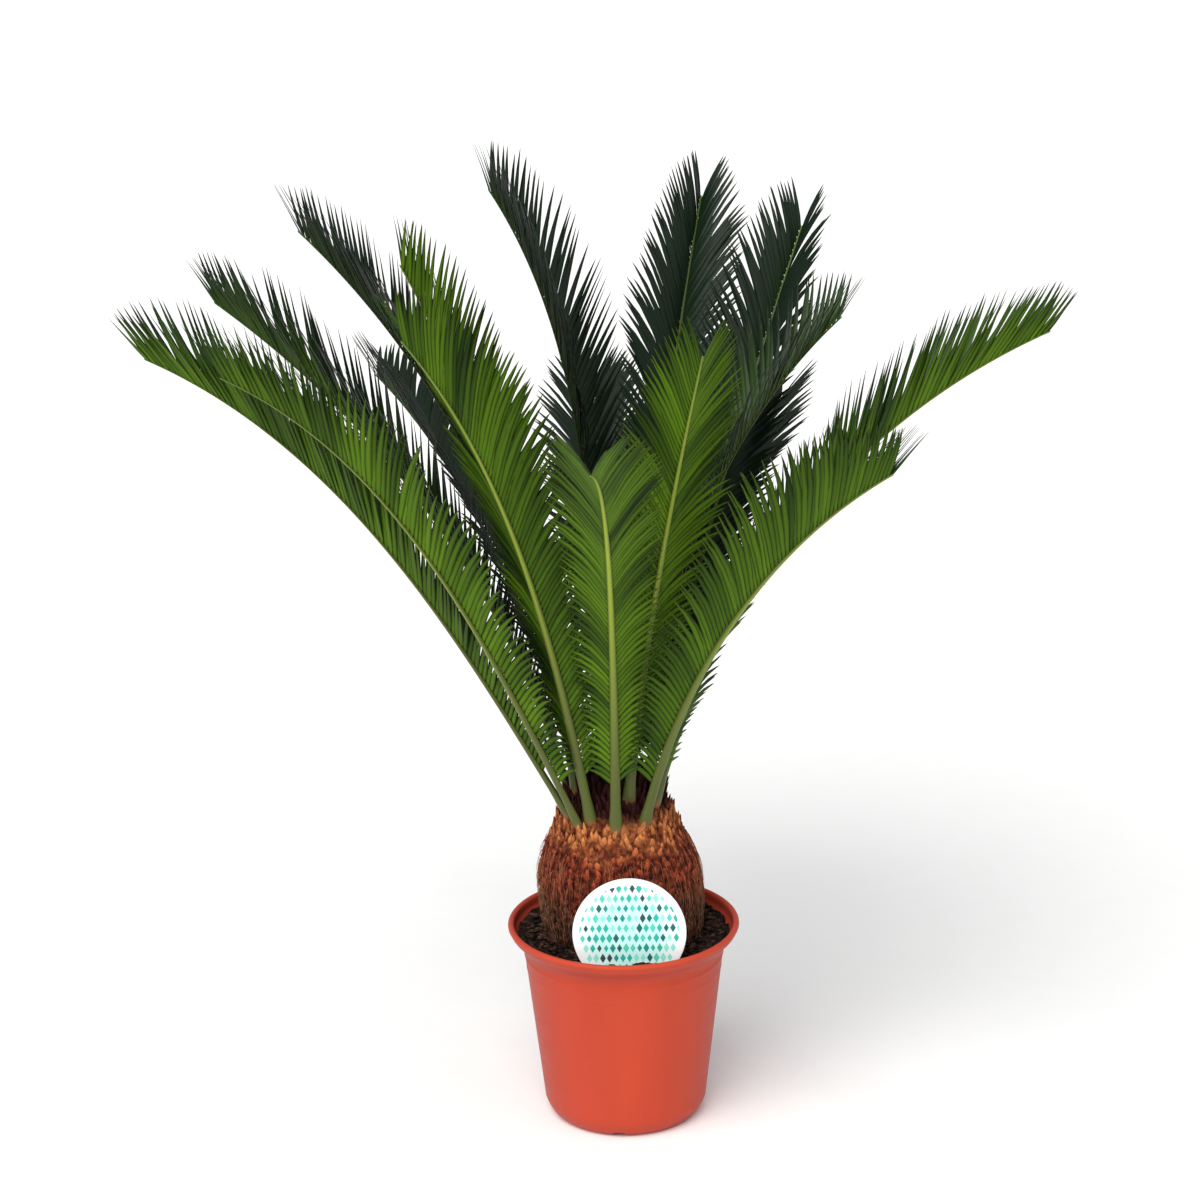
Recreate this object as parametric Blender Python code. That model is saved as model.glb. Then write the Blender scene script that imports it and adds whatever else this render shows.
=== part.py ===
"""Sago palm (Cycas revoluta) in a round nursery pot.

Metres, +Z up, -Y towards the front. The origin is at the centre of the flat
underside of the pot, so the whole plant stands on Z = 0.

The pot is a turned shell with drainage grooves under its foot, filled with a
plug of substrate. The swollen trunk stands on the substrate, a little off the
middle and leaning slightly. A round plant label is pushed into a slot in the
substrate, and leans back on the trunk. The fronds rise from three rings on the
crown. Each is one closed mesh: a five-sided rib that arches outwards, with a
comb of thin leaflet blades along both upper edges, set in a V.
"""
import math

import bpy
import numpy as np

# ---------------------------------------------------------------- dimensions
GAP = 0.0003                  # air kept between neighbouring pieces

# pot: a 17 cm nursery pot
POT_HEIGHT = 0.150
RIM_RADIUS = 0.085            # outer edge of the flared rim
WALL_TOP_RADIUS = 0.0730      # wall just below the rim
WALL_FOOT_RADIUS = 0.0598     # wall just above the foot
FOOT_RADIUS = 0.0510          # flat ring that the pot stands on
FOOT_HEIGHT = 0.012           # height of the slanting foot
WALL = 0.0016                 # thickness of the wall
FLOOR = 0.0050                # thickness of the pot's floor
RIM_WALL = 0.0040             # thickness of the flare at the rim
RIM_DROP = 0.024              # how far the flare reaches down from the top
POT_SEGMENTS = 44
GROOVES = 6                   # drainage grooves under the foot
GROOVE_WIDTH = 0.009
GROOVE_DEPTH = 0.0028
GROOVE_START = math.radians(264.0)

# substrate
SOIL_TOP = 0.1415
SOIL_SLACK = 0.0008           # air between the plug and the pot, level
SLOT_SLACK = 0.0004           # air round the label in its slot

# trunk: radius over height, turned about an axis that leans a little
TRUNK_FOOT = (0.0, 0.006)
TRUNK_HEAD = (-0.0065, 0.006)
TRUNK_TOP = 0.269
TRUNK_PROFILE = (             # (height, radius)
    (0.1418, 0.0568), (0.155, 0.0586), (0.170, 0.0596), (0.180, 0.0598),
    (0.1915, 0.0586), (0.200, 0.0566), (0.209, 0.0535), (0.220, 0.0483),
    (0.2295, 0.0438), (0.239, 0.0380), (0.250, 0.0340), (0.260, 0.0270),
    (0.266, 0.0140),
)
TRUNK_SEGMENTS = 36
SCALE_DEPTH = 0.0012          # relief of the old leaf bases

# label: a round card leaning on the trunk
LABEL_RADIUS = 0.041
LABEL_THICKNESS = 0.0010
LABEL_CENTRE = (0.0038, -0.0576, 0.1643)
LABEL_LEAN = math.radians(5.5)

# fronds
RIB_WIDTH = 0.0080            # rib at the crown
RIB_TIP = 0.0016              # rib at the far end
RIB_EDGE = 0.0010             # flat edge that a leaflet grows from
PETIOLE = 0.030               # bare stalk before the first leaflet
PETIOLE_STEPS = 3
LEAFLET_PITCH = 0.0092        # from one leaflet to the next
LEAFLET_TIP = 0.0009          # thickness at a leaflet's tip
CLEARANCE = 0.0009            # air between leaflets of different fronds
SEAT_GAP = 0.00045            # air between a rib's end and the trunk

# Each row: name, azimuth of the seat on the crown and its height, then the
# azimuth that the frond heads for, its steepness at the seat, how far it has
# come down from that at its far end, how late it bends (1 is an even arc),
# rib length, how far the rib swings sideways, how open the V of its leaflets
# is (from the middle to one side, at the crown), how far the frond rolls about
# its rib, and the length of its longest leaflets. Angles are in degrees,
# azimuth anticlockwise from +X seen from above, and a roll is anticlockwise
# seen from the frond's tip.
FRONDS = (
    ("frond_left_low",         207, 0.239, 180.0, 61.0, 36.0, 2.27, 0.456, 0.0, 73, 2, 0.098),
    ("frond_left_front",       228, 0.236, 208.0, 65.0, 35.0, 2.42, 0.457, 0.0, 66, 2, 0.088),
    ("frond_left_back",        168, 0.250, 168.0, 75.5, 41.0, 0.96, 0.443, 0.0, 69, 9, 0.095),
    ("frond_left_back_high",   158, 0.256, 157.0, 80.5, 42.0, 1.25, 0.454, 0.0, 73, 14, 0.092),
    ("frond_left_inner",       205, 0.256, 195.0, 81.0, 18.0, 1.40, 0.415, 0.0, 70, 10, 0.088),
    ("frond_front_left",       242, 0.240, 233.5, 74.5, 30.0, 1.73, 0.449, 1.0, 56, 15, 0.088),
    ("frond_front",            270, 0.236, 270.0, 79.0, 63.0, 1.45, 0.445, -5.0, 68, 0, 0.074),
    ("frond_front_right_high", 290, 0.254, 294.0, 80.5, 18.5, 0.60, 0.388, -4.5, 75, -18, 0.070),
    ("frond_front_right",      302, 0.237, 308.0, 71.5, 39.0, 0.93, 0.415, 1.0, 54, -13, 0.088),
    ("frond_right",            328, 0.248, 1.6, 74.5, 51.0, 1.17, 0.457, 0.0, 55, -12, 0.088),
    ("frond_right_back",       350, 0.259, 24.0, 88.0, 52.0, 1.25, 0.375, 0.0, 66, -8, 0.085),
    ("frond_back_right",        20, 0.259, 49.0, 69.0, 11.5, 1.09, 0.417, 2.5, 73, 7, 0.088),
    ("frond_back",              70, 0.262, 74.5, 60.5, 21.0, 1.34, 0.465, 3.5, 64, 15, 0.088),
    ("frond_back_left",        118, 0.263, 143.0, 89.9, 41.5, 2.43, 0.436, 1.0, 70, 16, 0.088),
    ("frond_rear_right",        52, 0.240, 66.0, 60.0, 48.0, 1.30, 0.370, 0.0, 70, 0, 0.088),
    ("frond_rear",              92, 0.238, 92.0, 56.0, 46.0, 1.30, 0.390, 0.0, 70, 0, 0.088),
    ("frond_rear_left",        128, 0.240, 122.0, 59.0, 44.0, 1.30, 0.400, 0.0, 70, 0, 0.088),
)

# ---------------------------------------------------------------- materials
COLOURS = {                   # (red, green, blue), roughness
    "terracotta_plastic": ((0.72, 0.085, 0.035), 0.38),
    "substrate": ((0.028, 0.018, 0.012), 0.95),
    "bark": ((0.20, 0.055, 0.022), 0.85),
    "label_card": ((0.80, 0.88, 0.86), 0.35),
    "frond_green": ((0.055, 0.135, 0.022), 0.45),
}


def material(name):
    """One Principled material, made the first time that it is asked for."""
    found = bpy.data.materials.get(name)
    if found:
        return found
    colour, roughness = COLOURS[name]
    made = bpy.data.materials.new(name)
    made.use_nodes = True
    shader = made.node_tree.nodes["Principled BSDF"]
    shader.inputs["Base Color"].default_value = (*colour, 1.0)
    shader.inputs["Roughness"].default_value = roughness
    shader.inputs["Metallic"].default_value = 0.0
    return made


def add_object(name, verts, faces, slot, smooth_angle=None):
    """A mesh object from its points and faces, with one material."""
    mesh = bpy.data.meshes.new(name)
    mesh.from_pydata([tuple(map(float, v)) for v in verts], [], faces)
    mesh.materials.append(material(slot))
    if smooth_angle is not None:
        mesh.shade_smooth()
        mesh.set_sharp_from_angle(angle=math.radians(smooth_angle))
    mesh.update()
    made = bpy.data.objects.new(name, mesh)
    bpy.context.scene.collection.objects.link(made)
    return made


def turned(name, profile, segments, slot, bump=None, axis=None, smooth=35):
    """A closed solid of revolution.

    profile runs from the axis round the outside and back to the axis, as
    (radius, height), with radius 0 only at its two ends. bump(i, j) is added
    to the radius of ring i at segment j, and axis(height) moves a ring's
    centre sideways.
    """
    verts = []
    faces = []
    centre = axis or (lambda height: (0.0, 0.0))
    first, last = profile[0], profile[-1]
    verts.append((*centre(first[1]), first[1]))
    for i, (radius, height) in enumerate(profile[1:-1]):
        cx, cy = centre(height)
        for j in range(segments):
            angle = 2.0 * math.pi * j / segments
            r = radius + (bump(i, j) if bump else 0.0)
            verts.append((cx + r * math.cos(angle), cy + r * math.sin(angle), height))
    verts.append((*centre(last[1]), last[1]))
    rings = len(profile) - 2
    end = len(verts) - 1
    for j in range(segments):
        k = (j + 1) % segments
        faces.append((0, 1 + k, 1 + j))
        for i in range(rings - 1):
            low = 1 + i * segments
            high = low + segments
            faces.append((low + j, low + k, high + k, high + j))
        top = 1 + (rings - 1) * segments
        faces.append((top + j, top + k, end))
    return add_object(name, verts, faces, slot, smooth)


# ---------------------------------------------------------------- pot
def wall_radius(height):
    """Outer radius of the straight tapering wall."""
    t = (height - FOOT_HEIGHT) / (POT_HEIGHT - RIM_DROP - FOOT_HEIGHT)
    return WALL_FOOT_RADIUS + (WALL_TOP_RADIUS - WALL_FOOT_RADIUS) * t


def flare(steps, inside):
    """The wall swelling out into the rim: half a cosine wave, bottom to top."""
    points = []
    for i in range(1, steps + 1):
        t = i / steps
        swell = 0.5 - 0.5 * math.cos(math.pi * t ** 1.5)
        radius = WALL_TOP_RADIUS + (RIM_RADIUS - 0.001 - WALL_TOP_RADIUS) * swell
        inset = (WALL + (RIM_WALL - WALL) * t * t) if inside else 0.0
        z = POT_HEIGHT - RIM_DROP + t * (RIM_DROP - 0.004)
        points.append((radius - inset, z))
    return points


def make_pot():
    outer = [(0.0, 0.0), (FOOT_RADIUS, 0.0)]
    outer.append((FOOT_RADIUS + 0.005, 0.004))
    outer.append((WALL_FOOT_RADIUS, FOOT_HEIGHT))
    outer.append((WALL_TOP_RADIUS, POT_HEIGHT - RIM_DROP))
    outer += flare(4, inside=False)
    outer.append((RIM_RADIUS, POT_HEIGHT - 0.0022))
    outer.append((RIM_RADIUS - 0.0012, POT_HEIGHT))
    inner = [(RIM_RADIUS - RIM_WALL - 0.0006, POT_HEIGHT)]
    inner += reversed(flare(4, inside=True))
    inner.append((WALL_TOP_RADIUS - WALL, POT_HEIGHT - RIM_DROP - 0.004))
    inner.append((WALL_FOOT_RADIUS - WALL, FOOT_HEIGHT))
    inner.append((FOOT_RADIUS + 0.002, FLOOR))
    inner.append((0.0, FLOOR))
    pot = turned("pot", outer + inner, POT_SEGMENTS, "terracotta_plastic")
    reach = WALL_FOOT_RADIUS - FOOT_RADIUS + 0.014
    for i in range(GROOVES):
        angle = GROOVE_START + i * 2.0 * math.pi / GROOVES
        middle = FOOT_RADIUS + 0.004
        bpy.ops.mesh.primitive_cube_add(size=1.0)
        cutter = bpy.context.object
        cutter.name = f"groove_cutter_{i + 1}"
        cutter.scale = (reach, GROOVE_WIDTH, 2.0 * GROOVE_DEPTH)
        cutter.location = (middle * math.cos(angle), middle * math.sin(angle), 0.0)
        cutter.rotation_euler[2] = angle
        cutter.hide_render = True
        cutter.display_type = "WIRE"
        cut = pot.modifiers.new(f"groove_{i + 1}", "BOOLEAN")
        cut.operation = "DIFFERENCE"
        cut.solver = "EXACT"
        cut.object = cutter
    return pot


def inner_radius(height):
    """Inner radius of the pot above its straight wall, as it is built."""
    straight = (WALL_TOP_RADIUS - WALL, POT_HEIGHT - RIM_DROP - 0.004)
    radii, heights = zip(straight, *flare(4, inside=True))
    return float(np.interp(height, heights, radii))


def make_substrate():
    """The plug of bark and peat, clear of the pot on every side.

    The label stands in a slot that is cut into its top.
    """
    side = WALL + SOIL_SLACK
    profile = [(0.0, FLOOR + GAP), (FOOT_RADIUS, FLOOR + GAP)]
    profile.append((WALL_FOOT_RADIUS - side, FOOT_HEIGHT + 0.0004))
    for height in (0.1220, 0.1310, 0.1360, SOIL_TOP - 0.001):
        profile.append((inner_radius(height) - SOIL_SLACK, height))
    profile.append((inner_radius(SOIL_TOP) - SOIL_SLACK - 0.0015, SOIL_TOP))
    profile.append((0.0, SOIL_TOP))
    plug = turned("substrate", profile, POT_SEGMENTS, "substrate", smooth=None)
    cutter = disc("label_cutter", LABEL_RADIUS + SLOT_SLACK, LABEL_THICKNESS + 2.0 * SLOT_SLACK)
    cutter.hide_render = True
    cutter.display_type = "WIRE"
    cut = plug.modifiers.new("label_slot", "BOOLEAN")
    cut.operation = "DIFFERENCE"
    cut.solver = "EXACT"
    cut.object = cutter
    return plug


# ---------------------------------------------------------------- trunk
def trunk_axis(height):
    """Centre of the trunk at a height."""
    low, high = TRUNK_PROFILE[0][0], TRUNK_TOP
    t = (height - low) / (high - low)
    return tuple(a + (b - a) * t for a, b in zip(TRUNK_FOOT, TRUNK_HEAD))


def trunk_radius(height):
    """Radius of the trunk at a height, straight between the named sizes."""
    heights, radii = zip(*TRUNK_PROFILE)
    return float(np.interp(height, heights + (TRUNK_TOP,), radii + (0.0,)))


def scale_relief(ring, segment):
    """Old leaf bases: every other point of the lattice stands out."""
    fade = min(1.0, ring / 2.0, max(0.0, (8 - ring) / 3.0))
    return SCALE_DEPTH * fade * (1.0 if (ring + segment) % 2 == 0 else -1.0)


def make_trunk():
    foot = TRUNK_PROFILE[0][0]
    profile = [(0.0, foot)]
    profile += [(radius, height) for height, radius in TRUNK_PROFILE]
    profile.append((0.0, TRUNK_TOP))
    return turned("trunk", profile, TRUNK_SEGMENTS, "bark", scale_relief, trunk_axis)


# ---------------------------------------------------------------- label
def disc(name, radius, thickness):
    """A short cylinder turned to face the front, leaning back, at the label's place."""
    bpy.ops.mesh.primitive_cylinder_add(vertices=40, radius=radius, depth=thickness)
    made = bpy.context.object
    made.name = name
    made.data.name = name
    made.location = LABEL_CENTRE
    made.rotation_euler[0] = math.radians(90.0) - LABEL_LEAN
    return made


def make_label():
    """A round card."""
    label = disc("label", LABEL_RADIUS, LABEL_THICKNESS)
    label.data.materials.append(material("label_card"))
    label.data.shade_smooth()
    label.data.set_sharp_from_angle(angle=math.radians(35.0))
    return label


# ---------------------------------------------------------------- fronds
def rib_curve(row, count=241, reach=1.0):
    """Points and directions along a rib, up to the fraction reach.

    At the fraction s of its length the rib climbs at rise - droop * s ** late
    and heads along azimuth + sway * s. Summing those directions gives the
    points, from the crown's surface outwards.
    """
    name, seat, base, azimuth, rise, droop, late, length, sway, keel, roll, leaf = row
    s = np.linspace(0.0, reach, count)
    climb = np.radians(rise - droop * s ** late)
    heading = np.radians(azimuth + sway * s)
    along = np.stack([np.cos(climb) * np.cos(heading),
                      np.cos(climb) * np.sin(heading), np.sin(climb)], axis=-1)
    middle = (along[1:] + along[:-1]) / 2.0
    steps = np.cumsum(middle, axis=0) * length * reach / (count - 1)
    cx, cy = trunk_axis(base)
    turn = math.radians(seat)
    start = np.array([cx + trunk_radius(base) * math.cos(turn),
                      cy + trunk_radius(base) * math.sin(turn), base])
    points = np.vstack([start, start + steps])
    side = np.stack([-np.sin(heading), np.cos(heading), 0.0 * heading], axis=-1)
    upper = np.cross(along, side)
    turn = math.radians(roll)
    rolled = math.cos(turn) * side + math.sin(turn) * upper
    upper = math.cos(turn) * upper - math.sin(turn) * side
    return s, points, along, rolled, upper


def rib_size(s):
    """Width of the rib at the fraction s of its length."""
    return RIB_TIP + (RIB_WIDTH - RIB_TIP) * (1.0 - s) ** 1.25


def rib_ring(point, side, upper, width):
    """Five points round the rib, anticlockwise seen from its far end.

    The keel, the lower and upper point of the left edge, then the upper and
    lower point of the right edge. Leaflets grow from the two edges.
    """
    half = width / 2.0
    edge = max(RIB_EDGE, width * 0.14)
    return [point - upper * half * 0.85,
            point + side * half,
            point + side * half * 0.8 + upper * edge,
            point - side * half * 0.8 + upper * edge,
            point - side * half]


def leaflet_length(s, leaf):
    """Short near the crown, full length in the outer half, shorter at the tip."""
    return leaf * min(1.0, 0.12 + 1.3 * s) * (1.0 - 0.55 * s ** 8)


def leaflet_direction(s, along, side, upper, sign, keel):
    """Spread wide near the crown, swept forward and folded in to the tip."""
    sweep = math.radians(70.0 - 50.0 * s + 10.0 * s * s)
    open_v = math.radians(keel + 5.0 * s - 35.0 * s * s)
    outward = math.cos(open_v) * upper + sign * math.sin(open_v) * side
    return math.cos(sweep) * along + math.sin(sweep) * outward


def stretch_gaps(p, q, starts, ends):
    """Least distance from the stretch p-q to each stretch of two arrays.

    The nearest point is found on each line, held to the stretch, and taken
    back to the other line once more, which is exact for two straight lines.
    """
    d1 = q - p
    d2 = ends - starts
    r = p - starts
    a = d1 @ d1
    e = np.einsum("ij,ij->i", d2, d2)
    b = d2 @ d1
    c = r @ d1
    f = np.einsum("ij,ij->i", d2, r)
    denominator = np.maximum(a * e - b * b, 1e-18)
    s = np.clip((b * f - c * e) / denominator, 0.0, 1.0)
    t = np.clip((b * s + f) / e, 0.0, 1.0)
    s = np.clip((b * t - c) / a, 0.0, 1.0)
    nearest = (p + s[:, None] * d1) - (starts + t[:, None] * d2)
    return np.sqrt(np.einsum("ij,ij->i", nearest, nearest)), s, t


class Space:
    """The stretches that are already taken, each with a radius at both ends."""

    def __init__(self):
        self.starts = []
        self.ends = []
        self.radii = []
        self.owners = []

    def add(self, start, end, radius_start, radius_end, owner):
        self.starts.append(start)
        self.ends.append(end)
        self.radii.append((radius_start, radius_end))
        self.owners.append(owner)

    def is_free(self, start, end, radius_start, radius_end, owner):
        others = np.array(self.owners) != owner
        starts = np.array(self.starts)[others]
        ends = np.array(self.ends)[others]
        radii = np.array(self.radii)[others]
        gap, s, t = stretch_gaps(start, end, starts, ends)
        mine = radius_start + (radius_end - radius_start) * s
        theirs = radii[:, 0] + (radii[:, 1] - radii[:, 0]) * t
        return bool(np.all(gap > mine + theirs + CLEARANCE))


def trunk_gap(point):
    """Distance from a point to the trunk's surface, by its slope there."""
    height = min(point[2], TRUNK_TOP - 0.0005)
    slope = (trunk_radius(height + 0.0005) - trunk_radius(height - 0.0005)) / 0.001
    cx, cy = trunk_axis(height)
    reach = math.hypot(point[0] - cx, point[1] - cy)
    return (reach - trunk_radius(height)) / math.hypot(1.0, slope)


def clear_start(row):
    """Fraction of a rib at which its whole end first stands off the trunk."""
    s, points, along, side, upper = rib_curve(row, count=401, reach=0.15)
    for i in range(len(s)):
        ring = rib_ring(points[i], side[i], upper[i], rib_size(s[i]))
        middles = [(p + q) / 2.0 for p, q in zip(ring, ring[1:] + ring[:1])]
        if min(trunk_gap(point) for point in ring + middles) > SEAT_GAP:
            return s[i]
    return s[-1]


def sample(curve, s_wanted):
    """The curve's point and directions at a fraction of its length."""
    s = curve[0]
    return [np.array([np.interp(s_wanted, s, values[:, k]) for k in range(3)])
            for values in curve[1:]]


def frond_stations(row):
    """Fractions of the rib where its rings stand, and where leaflets start."""
    length = row[7]
    begin = clear_start(row)
    leafy = begin + PETIOLE / length
    count = round((1.0 - leafy) * length / LEAFLET_PITCH)
    stalk = np.linspace(begin, leafy, PETIOLE_STEPS + 1)[:-1]
    comb = np.linspace(leafy, 1.0, count + 1)
    return rib_curve(row), np.concatenate([stalk, comb])


def make_frond(row, space, plans):
    """One frond: rib, end caps and the leaflets that have room."""
    name, keel, leaf = row[0], row[9], row[11]
    curve, stations = plans[name]
    verts = []
    for s in stations:
        point, along, side, upper = sample(curve, s)
        verts += rib_ring(point, side, upper, rib_size(s))
    rings = len(stations)
    last = 5 * (rings - 1)
    faces = [(4, 3, 2, 1, 0), (last, last + 1, last + 2, last + 3, last + 4)]
    grown = 0
    for i in range(rings - 1):
        a, b = 5 * i, 5 * (i + 1)
        for k in (0, 2, 4):
            m = (k + 1) % 5
            faces.append((a + k, a + m, b + m, b + k))
        s = (stations[i] + stations[i + 1]) / 2.0
        point, along, side, upper = sample(curve, s)
        for k, sign in ((1, 1.0), (3, -1.0)):
            root = (a + k, a + k + 1, b + k + 1, b + k)
            tip = None
            if i >= PETIOLE_STEPS:
                reach = leaflet_direction(s, along, side, upper, sign, keel) * leaflet_length(s, leaf)
                tip = free_tip(root, verts, reach, space, name)
            if tip is None:
                faces.append(root)
                continue
            across = np.cross(along, reach)
            across *= LEAFLET_TIP / 2.0 / np.linalg.norm(across)
            if across @ (verts[root[1]] - verts[root[0]]) < 0.0:
                across = -across
            n = len(verts)
            verts += [tip - across, tip + across]
            faces += blade_faces(root, n, n + 1)
            grown += 1
    add_object(name, verts, faces, "frond_green")
    return grown


def blade_faces(root, near, far):
    """A blade drawn out of one quad of the rib to a short edge at its tip."""
    p, q, r, s = root
    return [(p, q, far, near), (q, r, far), (r, s, near, far), (s, p, near)]


def free_tip(root, verts, reach, space, owner):
    """Tip of a leaflet, drawn back until it is clear, or None."""
    start = sum(verts[i] for i in root) / 4.0
    root_radius = LEAFLET_PITCH * 0.42
    for scale in (1.0, 0.8, 0.6, 0.45):
        tip = start + reach * scale
        if space.is_free(start, tip, root_radius, LEAFLET_TIP, owner):
            space.add(start, tip, root_radius, LEAFLET_TIP, owner)
            return tip
    return None


def make_fronds():
    """All ribs are laid out first, so that no leaflet runs into one."""
    space = Space()
    plans = {}
    for row in FRONDS:
        plans[row[0]] = frond_stations(row)
        curve, stations = plans[row[0]]
        points = [sample(curve, s)[0] for s in stations]
        sizes = [rib_size(s) * 0.55 for s in stations]
        for p, q, u, v in zip(points, points[1:], sizes, sizes[1:]):
            space.add(p, q, u, v, row[0])
    heights = np.linspace(TRUNK_PROFILE[0][0], TRUNK_TOP, 9)
    for low, high in zip(heights, heights[1:]):
        p = np.array([*trunk_axis(low), low])
        q = np.array([*trunk_axis(high), high])
        space.add(p, q, trunk_radius(low), trunk_radius(high), "trunk")
    for row in FRONDS:
        grown = make_frond(row, space, plans)
        print(row[0], "leaflets:", grown)


def main():
    for old in list(bpy.data.objects):
        bpy.data.objects.remove(old, do_unlink=True)
    make_pot()
    make_substrate()
    make_trunk()
    make_label()
    make_fronds()


main()
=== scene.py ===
# %% [markdown]
# # A sago palm in its nursery pot
#
# A sago palm isn't a palm but a cycad: a stout trunk clothed in the stumps of old leaves, and a crown of
# stiff fronds, each a long rib with a comb of narrow leaflets. This lesson dresses a finished CAD model of
# one. The CAD model stays underneath as a fixed frame that gives every size. Each of its pieces is plain,
# and here each is replaced by a surface that is worked out with numpy and given a finish from shader nodes.
#
# First the frame is loaded and its box is noted, because nothing made here may reach outside it.

import math
from collections import namedtuple

import bpy
import numpy as np
from mathutils import Matrix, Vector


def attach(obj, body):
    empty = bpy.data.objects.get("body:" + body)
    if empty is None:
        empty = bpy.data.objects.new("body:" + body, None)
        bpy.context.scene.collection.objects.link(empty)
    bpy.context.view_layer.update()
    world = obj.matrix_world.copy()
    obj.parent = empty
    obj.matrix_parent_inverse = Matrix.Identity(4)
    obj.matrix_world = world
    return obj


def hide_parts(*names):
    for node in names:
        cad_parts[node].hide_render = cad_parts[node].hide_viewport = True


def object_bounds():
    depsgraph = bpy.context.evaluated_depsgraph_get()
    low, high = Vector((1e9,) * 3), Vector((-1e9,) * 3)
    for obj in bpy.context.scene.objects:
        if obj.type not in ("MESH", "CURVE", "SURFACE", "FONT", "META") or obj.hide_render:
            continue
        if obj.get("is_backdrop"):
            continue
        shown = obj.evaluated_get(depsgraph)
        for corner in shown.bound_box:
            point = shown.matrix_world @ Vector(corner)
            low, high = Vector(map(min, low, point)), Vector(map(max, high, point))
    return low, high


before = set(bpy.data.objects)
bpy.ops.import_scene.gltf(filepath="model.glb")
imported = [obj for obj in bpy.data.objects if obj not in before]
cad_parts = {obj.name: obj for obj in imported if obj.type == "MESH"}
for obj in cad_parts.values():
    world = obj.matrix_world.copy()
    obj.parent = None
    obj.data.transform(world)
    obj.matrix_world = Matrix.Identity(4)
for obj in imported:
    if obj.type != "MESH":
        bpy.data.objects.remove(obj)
cad_low, cad_high = (np.array(corner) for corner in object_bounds())
print("frame:", len(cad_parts), "nodes,", np.round(cad_high - cad_low, 4), "m across")

# %% [markdown]
# ## One tube for everything
#
# A leaflet, a rib, a bark scale, a strand of fibre and even the pot are the same thing to a mesh: rings of
# corners, one after another along a path, with a single point that closes each end. Blender could make them
# with curves and modifiers, but there are thousands here, and one function that fills whole arrays is
# quicker and gives every piece a closed skin with its faces outwards.

# %% Tubes
def tubes(rings, first, last):
    """Closed tubes, many at once.

    rings has the shape (tube, station, corner, 3), its corners anticlockwise seen from the far end. first and
    last (tube, 3) are the points that close the near and the far end. Returns points, four-cornered sides,
    and the triangles of the two ends.
    """
    count, stations, corners = rings.shape[:3]
    size = stations * corners + 2
    points = np.concatenate([rings.reshape(count, -1, 3), first[:, None], last[:, None]], axis=1)
    i, j = np.meshgrid(np.arange(stations - 1) * corners, np.arange(corners), indexing="ij")
    k = (j + 1) % corners
    sides = np.stack([i + j, i + k, i + corners + k, i + corners + j], axis=-1)
    j = np.arange(corners)
    k = (j + 1) % corners
    top = (stations - 1) * corners
    near = np.stack([k, j, np.full(corners, size - 2)], axis=-1)
    far = np.stack([top + j, top + k, np.full(corners, size - 1)], axis=-1)
    shift = (np.arange(count) * size)[:, None, None]
    sides = (sides.reshape(-1, 4)[None] + shift).reshape(-1, 4)
    ends = (np.concatenate([near, far])[None] + shift).reshape(-1, 3)
    return points.reshape(-1, 3), sides, ends


def volume(points, sides, ends):
    """Sum of a . (b x c) / 6 over all triangles (a, b, c): positive when the faces point outwards."""
    triangles = np.concatenate([sides[:, [0, 1, 2]], sides[:, [0, 2, 3]], ends])
    a, b, c = (points[triangles[:, n]] for n in range(3))
    return float(np.einsum("ij,ij->i", a, np.cross(b, c)).sum() / 6.0)


def join(parts):
    """Several (points, sides, ends) made into one, each part's corner numbers moved past those before it."""
    starts = np.cumsum([0] + [len(part[0]) for part in parts[:-1]])
    return (np.concatenate([part[0] for part in parts]),
            np.concatenate([part[1] + start for part, start in zip(parts, starts)]),
            np.concatenate([part[2] + start for part, start in zip(parts, starts)]))


# %% A shape made a piece
def make_piece(name, shape, slot, stands_for, materials, facing=None, crease=None, **values):
    """Puts a shape into a mesh that rides on the plant.

    facing gives each face its material's number, crease picks the edges (by their two ends) that stay sharp,
    and every other named array is kept on the points as an attribute for the materials to read.
    """
    points, sides, ends = shape
    mesh = bpy.data.meshes.new(name)
    mesh.vertices.add(len(points))
    mesh.vertices.foreach_set("co", points.astype(np.float32).ravel())
    mesh.loops.add(4 * len(sides) + 3 * len(ends))
    mesh.loops.foreach_set("vertex_index", np.concatenate([sides.ravel(), ends.ravel()]).astype(np.int32))
    starts = np.concatenate([4 * np.arange(len(sides)), 4 * len(sides) + 3 * np.arange(len(ends))])
    mesh.polygons.add(len(starts))
    mesh.polygons.foreach_set("loop_start", starts.astype(np.int32))
    for material in materials:
        mesh.materials.append(material)
    if facing is not None:
        mesh.polygons.foreach_set("material_index", facing.astype(np.int32))
    mesh.update(calc_edges=True)
    mesh.shade_smooth()
    for key, array in values.items():
        kept = mesh.attributes.new(key, "FLOAT", "POINT")
        kept.data.foreach_set("value", array.astype(np.float32).ravel())
    if crease is not None:
        pairs = np.zeros(2 * len(mesh.edges), np.int32)
        mesh.edges.foreach_get("vertices", pairs)
        sharp = mesh.attributes.new("sharp_edge", "BOOLEAN", "EDGE")
        sharp.data.foreach_set("value", crease(pairs.reshape(-1, 2)))
    piece = bpy.data.objects.new(name, mesh)
    bpy.context.scene.collection.objects.link(piece)
    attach(piece, "root")
    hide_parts(*stands_for)
    print(f"{name}: {2 * len(sides) + len(ends)} triangles, {volume(*shape) * 1e6:.1f} ml")
    return piece


# %% [markdown]
# Nature's surfaces need noise that is the same every time. A sum of plane waves with seeded headings is
# smooth, has no lattice that shows, and works on any array of points.

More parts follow.
